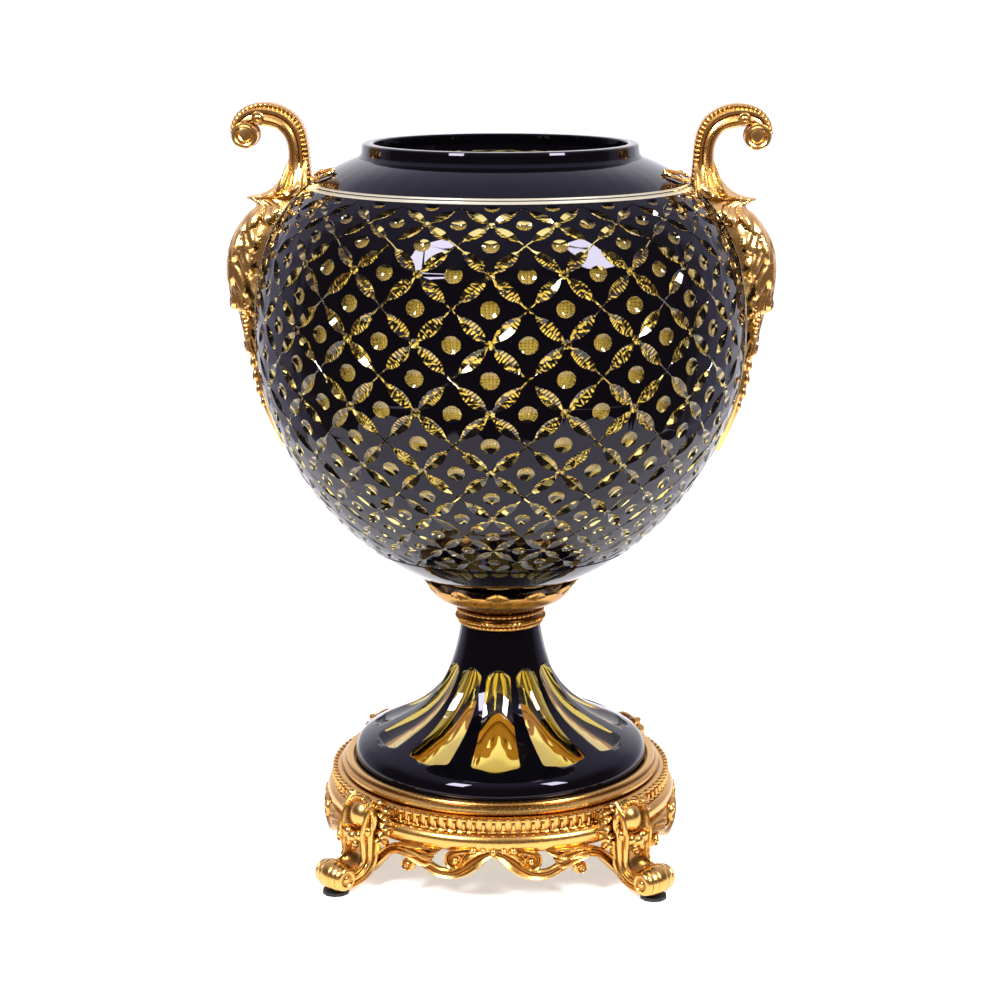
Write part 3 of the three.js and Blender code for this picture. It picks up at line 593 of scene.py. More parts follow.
def beadTree():
    tree, given = nodeGroup("beadsOnPath", "Geometry", dict(
        Geometry="Geometry", Bead="Object", Pitch="Float", Size="Float", Finish="Material"),
        dict(Geometry="Geometry"))
    curve = node(tree, "GeometryNodeMeshToCurve", {0: given["Geometry"]}).outputs[0]
    spaced = dict(Curve=curve, Length=given["Pitch"])
    even = node(tree, "GeometryNodeResampleCurve", spaced, mode="LENGTH").outputs[0]
    along = node(tree, "GeometryNodeInputTangent").outputs[0]
    turn = node(tree, "FunctionNodeAlignRotationToVector", dict(Vector=along), axis="X").outputs[0]
    beads = instances(tree, even, given["Bead"], turn, given["Size"])
    node(tree, "NodeGroupOutput", dict(Geometry=withFinish(tree, beads, given["Finish"])))
    return tree


ringOfShapes, beadsOnPath = ringTree(), beadTree()


def gather(bm, mesh):  # adds a finished mesh to the piece, all in its first material
    before = len(bm.faces)
    bm.from_mesh(mesh)
    bm.faces.ensure_lookup_table()
    for face in bm.faces[before:]:
        face.material_index = 0
    bpy.data.meshes.remove(mesh)


def ringOf(bm, shape, count, radius, height, start=0.0, size=1.0):
    gather(bm, grown("ringOf", ringOfShapes, dict(
        Shape=shape, Count=count, Radius=radius * mm, Height=height * mm, Start=radians(start), Size=size,
        Finish=giltBright)))


def beadsAlong(bm, path, pitch, size, bead=None):
    line = bpy.data.meshes.new("beadLine")
    line.from_pydata([tuple(p) for p in path], [(i, i + 1) for i in range(len(path) - 1)], [])
    gather(bm, grown("beadsAlong", beadsOnPath, dict(
        Bead=bead or pearl, Pitch=pitch * mm, Size=size * mm, Finish=giltBright), base=line))


def ballShape(name, stretch=(1, 1, 1)):
    bm = bmesh.new()
    addBall(bm, Vector(), 1.0, stretch, detail=(8, 6))
    return templateObject(name, bm)


pearl, ropeBead = ballShape("pearl"), ballShape("ropeBead", (0.72, 1.25, 1.0))
print("shape trees ready")


# foot

foot = dict(
    topRadius=21.6, top=122.8, knee=54.8, kneeHeight=69.5, slope=0.49, radius=79.0, hollowTop=114.6,
    bends=((25.5, 94.3), (35.5, 79)), flare=(54.8, 57, 59, 61, 63, 65, 66.2, 67.4, 68.6, 70.5),
    brim=((73.4, 2.6), (75.8, 1.1), (77.4, -0.6), (78.5, -2.8), (79, -5.6)),
    # radius and height, down the edge, under it and up the hollow inside
    inside=((79, 50.2), (79, 47.6), (78.6, 47), (74, 47), (73.4, 48), (73, 51), (70.5, 54.2), (66, 57.4),
        (60, 60.6), (53.5, 63.9), (45.5, 67.9), (38.5, 72.6), (32, 78.6), (26.6, 85.6), (22.2, 93.4),
        (19, 101.4), (16.8, 108), (13, 112.4), (7, 114.2)),
    flutes=11, fluteTop=103.2, fluteBottom=62.6, topAngle=27.5, bottomAngle=22.0, topRound=5.2, bottomRound=1.6,
    depth=2.2, perFlute=16, between=6, fluteSteps=(0.0, 0.04, 0.12, 0.25, 0.42, 0.65, 1.0), leastBounds=3.0,
)


def footCurve():  # points of the foot's outer side from the top to its edge
    ends = ((foot["topRadius"], foot["top"]), *foot["bends"], (foot["knee"], foot["kneeHeight"]))
    a, b, c, d = [Vector(p) for p in ends]
    points = []
    for i in range(40):
        t = (i / 40) ** 1.25
        points.append(a * (1 - t) ** 3 + b * 3 * t * (1 - t) ** 2 + c * 3 * t * t * (1 - t) + d * t ** 3)
    for radius in foot["flare"]:
        points.append(Vector((radius, foot["kneeHeight"] - (radius - foot["knee"]) * foot["slope"])))
    edge = foot["kneeHeight"] - (foot["radius"] - foot["knee"]) * foot["slope"]
    return points + [Vector((radius, edge + rise)) for radius, rise in foot["brim"]]


def fluteHalf(height):  # half the cut's width in degrees, rounded off at both ends
    share = (foot["fluteTop"] - height) / (foot["fluteTop"] - foot["fluteBottom"])
    if share <= 0 or share >= 1:
        return 0.0
    wide = lerp(foot["topAngle"], foot["bottomAngle"], share) / 2
    fromTop = clamp((foot["fluteTop"] - height) / foot["topRound"])
    fromBottom = clamp((height - foot["fluteBottom"]) / foot["bottomRound"])
    return wide * sqrt(1 - (1 - fromTop) ** 2) * (1 - (1 - fromBottom) ** 3) ** 0.5


def buildFoot():
    bm = bmesh.new()
    curve = footCurve()
    for height in [foot["fluteTop"] - foot["topRound"] * s for s in foot["fluteSteps"]]:
        curve.append(Vector((reading([(p.y, p.x) for p in curve[::-1]], height), height)))
        curve.sort(key=lambda p: -p.y)
    curve = [p for i, p in enumerate(curve) if i == 0 or curve[i - 1].y - p.y > 0.12 or p.x > foot["knee"]]
    pitch = 360 / foot["flutes"]
    rows, cutRow = [], []
    for i, point in enumerate(curve):
        along = heading(curve, i)
        half = fluteHalf(point.y)
        sink = foot["depth"] * clamp(half / 9) ** 0.8
        bounds = max(half, foot["leastBounds"])
        row = []
        for flute in range(foot["flutes"]):
            for k in range(foot["perFlute"]):
                across = 2 * k / foot["perFlute"] - 1
                depth = sink * (1 - across ** 2)
                radius, height = point.x + along.y * depth, point.y - along.x * depth
                row.append(ringPoint(radius * mm, height * mm, flute * pitch + across * bounds))
            for k in range(foot["between"]):
                angle = lerp(bounds, pitch - bounds, k / foot["between"])
                row.append(ringPoint(point.x * mm, point.y * mm, flute * pitch + angle))
        rows.append(row)
        cutRow.append(half > 0)
    count = len(rows[0])
    angles = [degrees(atan2(p.x, -p.y)) for p in rows[-1]]
    for radius, height in foot["inside"]:
        rows.append([ringPoint(radius * mm, height * mm, angle) for angle in angles])
    verts = [[bm.verts.new(p) for p in row] for row in rows]
    period = foot["perFlute"] + foot["between"]
    outside = len(curve) + 3
    for j, (upper, lower) in enumerate(zip(verts, verts[1:])):
        for i in range(count):
            k = (i + 1) % count
            face = bm.faces.new((upper[i], lower[i], lower[k], upper[k]))
            inFlute = i % period < foot["perFlute"]
            cutHere = j < len(cutRow) - 1 and cutRow[j] and cutRow[j + 1]
            face.material_index = 2 if j >= outside - 1 else (1 if inFlute and cutHere else 0)
    top = bm.verts.new((0, 0, foot["top"] * mm))
    low = bm.verts.new((0, 0, foot["hollowTop"] * mm))
    for i in range(count):
        k = (i + 1) % count
        bm.faces.new((verts[0][i], verts[0][k], top)).material_index = 0
        bm.faces.new((verts[-1][i], verts[-1][k], low)).material_index = 2
    finished("fluteCutFoot", bm, (blackSkin, footCut, footInside), "foot", angle=20)


buildFoot()
print("foot ready")


# collar

collar = dict(
    profile=((0, 123.15), (20.6, 123.15), (21.8, 123.3), (22.6, 124.2), (22.7, 125), (22.2, 125.6),
        (22.3, 125.9), (23.3, 126.3), (23.6, 127.1), (23.2, 127.9), (22.1, 128.3), (21.7, 128.9),
        (21.6, 129.9), (21.9, 130.4), (22.9, 130.7), (23.3, 131.4), (22.9, 132.1), (22, 132.5),
        (22.3, 133.2), (24.2, 134), (27.5, 135.3), (31.2, 137), (34.6, 138.9), (36.6, 140.6), (38.7, 143.4),
        (39.7, 145.9), (38.9, 146.4), (36.2, 142.4), (30, 138.2), (20, 139.6), (0, 140)),
    leaves=12, leafRoot=24.5, leafThick=1.3,
    leafDrop=((0, 9), (0.3, 7.6), (0.656, 5.4), (0.825, 3.9), (1, 2.4)),
)


def cupLeaf(reachEnd, wide):  # one leaf lying against the underside of the bowl, its tip curling down and out
    bm = bmesh.new()
    rows = []
    steps, across = 16, 14
    for i in range(steps + 1):
        share = i / steps
        reach = lerp(collar["leafRoot"], reachEnd, share)
        drop = reading(collar["leafDrop"], share)
        ragged = 1 - 0.2 * abs(sin(share * pi * 3.5)) ** 1.5
        half = wide * (sin(pi * clamp(0.2 + share * 0.8)) ** 0.75 * ragged + 0.04)
        row = []
        for k in range(across + 1):
            side = 2 * k / across - 1
            ruffle = 0.5 * cos(side * pi * 4) * (0.3 + share) * (1 - share ** 3)
            thick = 0.9 + 1.3 * (1 - abs(side) ** 1.5) + 0.9 * exp(-(side * 6) ** 2) + ruffle
            under = undersideHeight(hypot(reach, side * half))
            row.append((side * half, -reach, under - drop - 0.5 * max(thick, 0.5)))
        rows.append(row)
    top = [[Vector(p) * mm for p in row] for row in rows]
    back = [[Vector((x, y, z + collar["leafThick"])) * mm for x, y, z in row] for row in rows]
    addGrid(bm, [a + b[::-1] for a, b in zip(top, back)])
    bmesh.ops.recalc_face_normals(bm, faces=bm.faces)
    return templateObject("cupLeaf", bm)


def buildCollar():
    bm = bmesh.new()
    addLathe(bm, collar["profile"], 72)
    leaf, smallLeaf = cupLeaf(42.6, 10.8), cupLeaf(36.4, 8.2)
    ringOf(bm, leaf, collar["leaves"], 0, 0)
    ringOf(bm, smallLeaf, collar["leaves"], 0, -0.5, start=180 / collar["leaves"])
    beads = ((ropeBead, 58, 23.0, 127.15, 1.25), (pearl, 52, 22.8, 131.4, 1.15), (pearl, 60, 22.35, 124.5, 0.75))
    for bead, count, radius, height, size in beads:
        ringOf(bm, bead, count, radius, height, size=size * mm)
    for helper in (leaf, smallLeaf):
        bpy.data.objects.remove(helper)
    finished("leafCollar", bm, (giltCollar,), "collar")


buildCollar()
print("collar ready")


# stand

stand = dict(
    ring=((71, 41.7), (71, 46.7), (79.9, 46.7), (79.9, 50.2), (80.5, 50.6), (82.4, 50.7), (83.7, 50.3),
        (84.1, 49.6), (83.6, 48.9), (84, 48.4), (85.4, 47.9), (86.4, 47), (86.6, 45.9), (86, 45),
        (85.2, 44.7), (86.2, 44.3), (88.4, 44), (89.4, 43.5), (89.3, 38), (90.2, 37.4), (90.7, 36.6),
        (92.4, 36.2), (93.9, 34.8), (94.6, 32.7), (94.4, 30.5), (93.8, 28.8), (92.8, 27.4), (89, 27),
        (87.3, 30), (86.2, 36), (84, 40), (80, 41.7), (71, 41.7)),
    bars=112, barRadius=90.4, barMiddle=40.6, barEnd=2.9,
    apron=93.2, legs=4,
    # the two long ribbons of an apron side, as angle and height, and their width along the way
    mainScroll=((-0.8, 28), (3, 26), (6.2, 22.6), (9.4, 18.3), (13, 15.3), (17.2, 15.2), (20.8, 17.6),
        (24, 20.8), (27.4, 24)),
    mainTaper=((0, 0.5), (0.125, 0.78), (0.25, 1.12), (0.375, 0.98), (0.5, 0.7), (0.75, 0.66), (0.9, 0.7), (1, 0.5)),
    legScroll=((43.5, 9.5), (40.5, 14), (37.8, 18.4), (35.2, 22), (32.2, 24), (28.5, 24.8), (24.5, 24.9),
        (20.5, 26), (16.8, 27.6)),
    legTaper=((0, 1.1), (0.4, 0.85), (0.62, 1.05), (0.8, 1.1), (0.92, 0.75), (1, 0.2)),
)
leg = dict(
    # half of the section across, as shares of half the width and half the thickness
    half=((0, 0.46), (0.3, 0.5), (0.58, 0.62), (0.76, 0.8), (0.82, 1), (0.9, 1.06), (0.97, 0.98), (1, 0.82),
        (0.96, 0.68), (0.84, 0.6), (0.86, 0.52), (0.98, 0.42), (1.04, 0.24), (1, 0.06), (0.86, -0.04),
        (0.88, -0.14), (1, -0.26), (1.04, -0.45), (0.98, -0.66), (0.84, -0.84), (0.45, -0.94)),
    # distance out, height, half the thickness and half the width along the leg
    line=((90, 44, 7.5, 8.8), (94.4, 37.5, 9.2, 9.6), (97, 30, 8.8, 9.6), (97.6, 23, 7.4, 9.3),
        (98.4, 17, 6.6, 9.1), (101, 12, 6, 9.2), (105.6, 8.9, 5.4, 9.5), (111, 7.6, 5, 9.7),
        (116, 7.4, 4.6, 9.8)),
    toe=(116.5, 0, 9.8), toeHalf=10.3, toeRadius=7.8, toeEnd=2, knee=(96.4, 0, 37.8), kneeRadius=8.2,
    border=9.6, borderThick=1.7,
    berries=((0, 27.4, 104.6, 3.4), (4.4, 28.8, 104, 3), (-4.4, 28.8, 104, 3), (8.2, 31.8, 101.6, 2.8),
        (-8.2, 31.8, 101.6, 2.8), (2.3, 24, 104.6, 2), (-2.3, 24, 104.6, 2), (0, 21.2, 103.6, 1.5)),
    # root across and up, tip across and up, half width
    fan=((9, 46, 13, 45, 2.4), (11, 42.6, 17.2, 40.6, 2.8), (11.8, 38, 18.6, 34.6, 3),
        (11.4, 33.6, 17, 28.6, 2.9), (10.4, 29.6, 14, 23.4, 2.5)),
    fanTaper=((0, 0.7), (0.5, 1.1), (0.85, 0.9), (1, 0.2)),
    # the toe's rings from its end to its middle, as shares of its half width and radius
    grooves=((-0.93, 0.2), (-0.94, 0.4), (-1, 0.5), (-1, 0.6), (-0.95, 0.72), (-0.86, 0.8), (-0.76, 0.84),
        (-0.7, 0.81), (-0.65, 0.87), (-0.5, 0.94), (-0.38, 0.965), (-0.33, 0.92), (-0.27, 0.975),
        (-0.12, 1)),
)
ribbonSection = (
    (-1, 0), (-0.92, 0.6), (-0.68, 0.95), (-0.42, 0.72), (-0.2, 0.35), (0.12, 0.3), (0.38, 0.7), (0.66, 1),
    (0.92, 0.65), (1, 0), (0.8, -0.8), (-0.8, -0.8))


def ribbon(bm, path, halfWide, halfDeep, taper, outward):  # a grooved scroll along a path
    rows = []
    for i, point in enumerate(path):
        out = outward(point)
        side = heading(path, i).cross(out).normalized()
        size = reading(taper, i / (len(path) - 1)) * mm
        rows.append([point + side * u * halfWide * size + out * v * halfDeep * size for u, v in ribbonSection])
    addGrid(bm, rows)


def outFromAxis(point):
    return Vector((point.x, point.y, 0)).normalized()


def apronScroll(bm, points, halfWide, halfDeep, taper, reach=0.0, steps=6):
    for flip in (1, -1):
        path = [ringPoint((stand["apron"] + reach) * mm, z * mm, flip * a) for a, z in points]
        ribbon(bm, smoothPath(path, steps), halfWide, halfDeep, taper, outFromAxis)


def curlPoints(centre, start, turns, radius, close, steps=18):  # a spiral inwards about (angle, height)
    degree = 1.63  # mm along the apron
    points = []
    for i in range(steps + 1):
        share = i / steps
        around = radians(start + turns * share)
        reach = lerp(radius, close, share ** 0.85)
        points.append((centre[0] + reach * cos(around) / degree, centre[1] + reach * sin(around)))
    return points


def toeRoll(bm, centre):  # a barrel roll whose axis lies along Y, with a dished scroll at each end
    grooves = leg["grooves"] + tuple((-u, v) for u, v in leg["grooves"][::-1])
    half, radius = leg["toeHalf"], leg["toeRadius"]
    turns = [tau * k / 32 for k in range(32)]
    addGrid(bm, [[centre + Vector((cos(turn) * radius * v, half * u, sin(turn) * radius * v)) * mm
                  for turn in turns] for u, v in grooves])
    for end in (-1, 1):
        addBall(bm, centre + Vector((0, end * half * 0.93 * mm, 0)), leg["toeEnd"] * mm, (1, 0.6, 1))


def buildLeg():  # one leg, standing out along +X
    bm = bmesh.new()
    line = leg["line"]
    section = list(leg["half"]) + [(-u, v) for u, v in leg["half"][:0:-1]]
    path = smoothPath([(x * mm, 0, z * mm) for x, z, _, _ in line], 5)
    rows = []
    for i, point in enumerate(path):
        along = heading(path, i)
        out = Vector((-along.z, 0, along.x))
        place = i / (len(path) - 1) * (len(line) - 1)
        thick, wide = [reading([(k, row[part]) for k, row in enumerate(line)], place) for part in (2, 3)]
        rows.append([point + out * v * thick * mm + Vector((0, u * wide * mm, 0)) for u, v in section])
    addGrid(bm, rows)
    toeRoll(bm, Vector(leg["toe"]) * mm)
    knee = Vector(leg["knee"]) * mm
    addBall(bm, knee, leg["kneeRadius"] * mm, (0.92, 1.0, 1.05), detail=(26, 18))
    border = []
    for k in range(25):
        around = radians(-38 + 256 * k / 24)
        border.append(knee + Vector((1.2, cos(around) * leg["border"], sin(around) * leg["border"])) * mm)
    addTube(bm, smoothPath(border, 3), leg["borderThick"] * mm, sides=8)
    beadsAlong(bm, [p + Vector((1.5 * mm, 0, 0)) for p in border], 1.9, 0.9)
    for side, height, reach, size in leg["berries"]:
        addBall(bm, Vector((reach, side, height)) * mm, size * mm, (0.8, 1, 1.1), detail=(12, 8))
    for side in (-1, 1):
        for y0, z0, y1, z1, wide in leg["fan"]:
            root = Vector((97.8 - y0 * 0.3, side * y0 * 0.75, z0)) * mm
            middle = Vector((98.8 - y0 * 0.3, side * (y0 + y1) * 0.5, (z0 + z1) * 0.5 + 0.8)) * mm
            tip = Vector((95.6 - y1 * 0.2, side * y1, z1)) * mm
            ribbon(bm, smoothPath([root, middle, tip], 6), wide, 2.2, leg["fanTaper"],
                   lambda p: Vector((1, side * 0.25, 0)).normalized())
    return bm


def buildStand():
    bm = bmesh.new()
    addLathe(bm, stand["ring"], 128)
    bar = bmesh.new()
    addBall(bar, Vector(), 1.0 * mm, (1.15, 1.6, 3.4), detail=(10, 7))
    addBall(bar, Vector((0, 0, stand["barEnd"] * mm)), 1.0 * mm, (2.2, 1.5, 1.0), detail=(8, 5))
    addBall(bar, Vector((0, 0, -stand["barEnd"] * mm)), 1.0 * mm, (1.9, 1.5, 0.75), detail=(8, 5))
    barShape = templateObject("bar", bar)
    ringOf(bm, barShape, stand["bars"], stand["barRadius"], stand["barMiddle"])
    bpy.data.objects.remove(barShape)

    side = bmesh.new()
    pointed = ((0, 0.6), (0.5, 1.1), (0.85, 0.75), (1, 0.15))
    rounded = ((0, 0.7), (0.6, 1.05), (0.88, 0.95), (1, 0.45))
    volute, dropCurl = (11.8, 22.9), (28.0, 16.3)  # centres, as angle and height
    inward = ((31.6, 23.4), (28.0, 22.8), (25.0, 21.6), (22.4, 20.4), (19.9, 19.9))
    apronScroll(side, stand["mainScroll"], 4.3, 3.2, stand["mainTaper"])
    apronScroll(side, [(6.6, 28.6), (9.0, 28.4)] + curlPoints(volute, 90, -470, 4.5, 1.0), 2.3, 2.6,
                ((0, 0.6), (0.3, 1), (0.7, 0.9), (1, 0.6)), reach=0.9, steps=3)
    apronScroll(side, ((6.2, 28.4), (8.4, 25.4), (9.6, 21.6), (11.6, 18.4)), 2.2, 2.0, pointed, reach=1.1)
    apronScroll(side, stand["legScroll"], 3.2, 3.0, stand["legTaper"], reach=0.3)
    apronScroll(side, inward, 2.9, 2.7, rounded, reach=1.0)
    apronScroll(side, ((28.6, 26.0), (24.6, 25.0), (21.2, 23.6), (18.8, 23.4)), 2.2, 2.4, pointed, reach=1.3)
    apronScroll(side, ((25.4, 23.0), (26.4, 20.4), (27.6, 17.6)), 2.6, 2.4, ((0, 0.8), (1, 0.9)), reach=-0.2)
    apronScroll(side, curlPoints(dropCurl, 130, -440, 2.9, 0.9), 1.3, 1.3, ((0, 1), (1, 0.7)), reach=2.0, steps=2)
    for flip in (1, -1):
        eyes = ((volute, 93.4, 4.0, (1, 0.5, 1)), (dropCurl, 93.0, 3.6, (1, 0.75, 1)))
        for (angle, z), radius, size, stretch in eyes:
            addBall(side, ringPoint(radius * mm, z * mm, flip * angle), size * mm, stretch,
                    turn=radians(flip * angle), detail=(16, 10))
        addBall(side, ringPoint(95.0 * mm, volute[1] * mm, flip * volute[0]), 1.9 * mm)
        for place, size in ((3.2, 1.7), (6.2, 1.9)):
            addBall(side, ringPoint(94.4 * mm, 28.8 * mm, flip * place), size * mm, (1.1, 1, 0.9))
    addBall(side, ringPoint(94.4 * mm, 28.2 * mm, 0), 1.9 * mm)
    sideShape = templateObject("apronSide", side)
    ringOf(bm, sideShape, stand["legs"], 0, 0)
    legShape = templateObject("leg", buildLeg())
    ringOf(bm, legShape, stand["legs"], 0, 0, start=45)
    for helper in (sideShape, legShape):
        bpy.data.objects.remove(helper)
    finished("scrollStand", bm, (giltBright,), "stand")


buildStand()
print("stand ready")


# handles

handle = dict(
    # outer and inner edge of the stem, as distance and height, from its foot to the eye of the scroll
    stem=((97.2, 352, 117, 354), (97.6, 358, 113.6, 359.4), (98, 364, 110.9, 364.8),
        (98.4, 370, 109.6, 370), (99, 378, 109.8, 377), (100.6, 385.6, 111.9, 382.2),
        (104.4, 392.2, 115.3, 385.2), (110.5, 396.6, 118.5, 386.2), (116.6, 398.7, 121, 386.6),
        (122.4, 399.1, 123.8, 387.2), (128.6, 398, 126.6, 387.6), (133.6, 395.4, 128.8, 387),
        (137.2, 391.2, 130.4, 386), (138.9, 386.2, 131.6, 384.6), (138.3, 381.2, 131.4, 382.8),
        (135.2, 377.2, 131, 381.8), (131, 375.8, 130.8, 381.5), (127, 377.4, 130.4, 381.7),
        (124.8, 380.6, 130, 382), (124.9, 384, 129.6, 382.6)),
    stemWidth=((0, 8.5), (1, 7.6), (3, 6.2), (7, 6), (11, 6.4), (15, 6.8), (19, 6.4)),
    # share of the way from the outer to the inner edge, and share of the half width
    section=((0, 0), (0.012, 0.36), (0.05, 0.62), (0.11, 0.74), (0.17, 0.66), (0.21, 0.82), (0.3, 1),
        (0.4, 0.98), (0.45, 0.78), (0.5, 0.96), (0.6, 1.06), (0.7, 0.98), (0.75, 0.74), (0.8, 0.84),
        (0.88, 0.8), (0.95, 0.6), (1, 0)),
    # the side leaf's crest, as distance and height
    outline=((108.4, 374), (109.6, 370), (110.8, 366.4), (112.8, 361.6), (116.6, 356.8), (121.4, 353.4),
        (126.6, 351.6), (130.6, 350.9), (131, 350), (128.4, 348.6), (126.2, 347.2), (127.2, 345.2),
        (130.4, 342.8), (134.4, 338.2), (137.9, 333), (140.6, 327), (142.3, 319.6), (142.8, 314),
        (142.4, 306.5), (141.4, 299.4), (141.6, 294.4), (139.4, 292.6), (137.4, 291), (136.4, 286.9),
        (135.1, 281.6), (134.6, 276.3), (133.4, 271.4), (131.8, 268.6), (130.9, 266.4), (130.4, 260.4),
        (129.8, 255.1), (128.5, 249.8), (126.9, 244.4), (125.1, 239), (122.9, 233.6), (120.7, 228.2),
        (118.3, 222.8), (116, 218.4)),
    # height and half the leaf's width there
    width=((374, 3), (370, 4.6), (366, 6.6), (361, 8.4), (356, 10.4), (352, 11.6), (350.6, 9.6),
        (349, 10.6), (346, 12.6), (342, 14.6), (332, 16.6), (318, 16.4), (306, 14.4), (296, 12.2),
        (290, 10), (284, 9.6), (276, 9.6), (268, 8.4), (262, 7.2), (250, 7.4), (240, 6), (228, 4.2),
        (220, 2.2), (218, 1)),
    # root turn and height, tip turn and height, half width and swelling of each lobe
    lobes=((32, 360, 56, 350, 3.4, 2.4), (52, 361, 80, 351, 3, 2.2), (14, 352, 56, 333, 5.4, 3.2),
        (46, 351, 86, 338, 3.6, 2.8), (28, 340, 80, 324, 4, 3), (8, 340, 44, 318, 4.2, 2.8),
        (42, 328, 84, 311, 3.6, 2.8), (6, 326, 36, 305, 3.8, 2.4), (32, 318, 76, 300, 3.6, 2.6),
        (0, 345, 0, 320, 3.2, 1.5), (0, 325, 0, 293, 3.4, 1.8), (8, 310, 34, 292, 3.2, 2.2),
        (34, 305, 74, 288, 3, 2.2), (0, 292, 0, 276, 2.6, 1.4), (10, 294, 40, 279, 2.6, 1.8),
        (34, 291, 72, 276, 2.4, 1.7), (8, 282, 34, 269, 2.4, 1.6), (30, 281, 64, 267, 2.2, 1.5),
        (60, 308, 89, 290, 3, 2.2), (58, 294, 88, 277, 2.6, 1.9), (52, 281, 86, 265, 2.4, 1.7)),
    lobeWidth=((-0.15, 0.3), (0, 0.55), (0.35, 0.9), (0.7, 1), (0.86, 0.86), (0.95, 0.55), (1, 0.1)),
    lobeRise=((-0.15, 0), (0, 0.2), (0.45, 0.62), (0.8, 1), (0.93, 0.92), (0.98, 0.6), (1, 0.3)),
    clearance=0.7, degree=0.29,  # gap to the glass, and mm to one degree of turn
    eye=(131.2, 0, 382.6), curl=(124.2, 391.4),
    flutes=(((102.2, 368.5), (104, 353.6), 3.9), ((107.6, 367.5), (111.8, 353.6), 3.4)),
    fluteTaper=((0, 0.8), (0.6, 1.05), (0.88, 1), (1, 0.4)),
    # height, turn, size and stretch of the berries
    berries=((290.6, 54, 2.3, 1), (286, 56, 2.3, 1), (281.6, 54, 1.9, 1.1), (265, 48, 1.9, 1.7),
        (257.6, 50, 1.8, 1.7), (250.4, 52, 1.6, 1.8), (243.6, 54, 1.4, 1.8)),
    # turn, distance and lift of the arm on the shoulder
    arm=((3, 97, 2), (7.5, 96.9, 1.7), (12, 96, 1.6), (16, 93.8, 1.5), (18.6, 90.6, 1.5), (18.8, 88.2, 1.4),
        (16.6, 87.4, 1.4), (13.6, 88.8, 1.5), (9.5, 91.2, 1.7), (3, 92.4, 2)),
    armRoot=95.5,
)


def stemRows():
    outer = smoothPath([(a, 0, b) for a, b, _, _ in handle["stem"]], 4)
    inner = smoothPath([(c, 0, d) for _, _, c, d in handle["stem"]], 4)
    rows = []
    for i, (far, near) in enumerate(zip(outer, inner)):
        wide = reading(handle["stemWidth"], i / 4)
        half = [(share, wide * across) for share, across in handle["section"]]
        rows.append([(far.lerp(near, share) + Vector((0, y, 0))) * mm for share, y in half]
                    + [(far.lerp(near, share) - Vector((0, y, 0))) * mm for share, y in half[-2:0:-1]])
    return rows, outer


def lobeSwelling(turn, z):  # how far the lobes stand up; turn is 0 on the crest and 90 at the edge
    swelling = 0.0
    for rootTurn, rootZ, tipTurn, tipZ, wide, lift in handle["lobes"]:
        runX, runZ = (tipTurn - rootTurn) * handle["degree"], tipZ - rootZ
        length = hypot(runX, runZ)
        dx, dz = (turn - rootTurn) * handle["degree"], z - rootZ
        along = (dx * runX + dz * runZ) / length ** 2
        if not -0.15 < along < 1:
            continue
        across = (dx * runZ - dz * runX) / length + 1.3 * sin(pi * clamp(along))
        half = wide * reading(handle["lobeWidth"], along)
        if abs(across) >= half:
            continue
        rise = reading(handle["lobeRise"], along)
        share = abs(across) / half
        crown = sqrt(1 - share ** 2.4) - 0.34 * exp(-(share / 0.22) ** 2) + 0.05 * cos(share * 14)
        swelling = max(swelling, lift * rise * crown)
    return swelling


def sideLeaf(bm):
    outline = smoothPath([(x, 0, z) for x, z in handle["outline"]], 7)
    width = sorted(handle["width"])
    rows, across = [], 64
    for spot in outline:
        reach, z = spot.x, spot.z
        half = reading(width, z)
        glass = bowlRadius(z) + handle["clearance"]
        if z > bowl["darkInside"]:
            glass = max(glass, 99.5)  # above the ring the leaf's back runs into the stem
        crestLift = lobeSwelling(0, z)
        strength = clamp(half / 11) * clamp((z - 262) / 6)
        stand = max(reach - glass - crestLift * strength, 0.8)
        row = []
        for k in range(across + 1):
            turn = 180 * k / across - 90
            away = abs(turn)
            lean = radians(turn)
            outX = stand * cos(lean) ** 0.82
            y = half * copysign(abs(sin(lean)) ** 0.94, turn)
            vein = 0.22 * cos(radians(turn * 9)) * clamp(half / 12) * (1 - (away / 90) ** 6)
            swell = (lobeSwelling(away, z) * strength + vein) * clamp((90 - away) / 7)
            faceOut = Vector((cos(lean) * half, sin(lean) * stand, 0)).normalized()
            x = sqrt(max(glass ** 2 - y * y, 1)) + outX
            row.append(Vector((x + faceOut.x * swell, y + faceOut.y * swell, z + 0.18 * swell)) * mm)
        back = [Vector((sqrt(max(glass ** 2 - (v * half) ** 2, 1)), v * half, z)) * mm
                for v in (0.9, 0.45, 0, -0.45, -0.9)]
        rows.append(row + back)
    addGrid(bm, rows)


def leafSpot(turn, z):  # a place on the leaf; turn is 0 on the crest and 90 at the edge
    reach = reading(sorted((h, x) for x, h in handle["outline"]), z)
    half, glass, lean = reading(sorted(handle["width"]), z), bowlRadius(z) + handle["clearance"], radians(turn)
    y = half * sin(lean)
    return Vector((sqrt(glass ** 2 - y * y) + (reach - glass) * cos(lean), y, z)) * mm


def shoulderArm(bm, side):  # the arm at the back is drawn shorter than the one in front
    spread = 0.3 if side > 0 else 1.0
    loop = []
    for turn, radius, lift in handle["arm"]:
        radius = lerp(handle["armRoot"], radius, spread)
        around = radians(turn) * side * spread
        loop.append(Vector((radius * cos(around), radius * sin(around), shoulderHeight(radius) + lift)) * mm)
    path = smoothPath(loop, 5)
    addTube(bm, path, 0.9 * mm, sides=8, up=Vector((0, 0, 1)))
    beadsAlong(bm, [p + Vector((0, 0, 0.5 * mm)) for p in path], 1.6, 0.75)


def circle(centre, radius, turns):  # points round a circle that stands along X
    return [centre + Vector((cos(turn), 0, sin(turn))) * radius * mm for turn in map(radians, turns)]


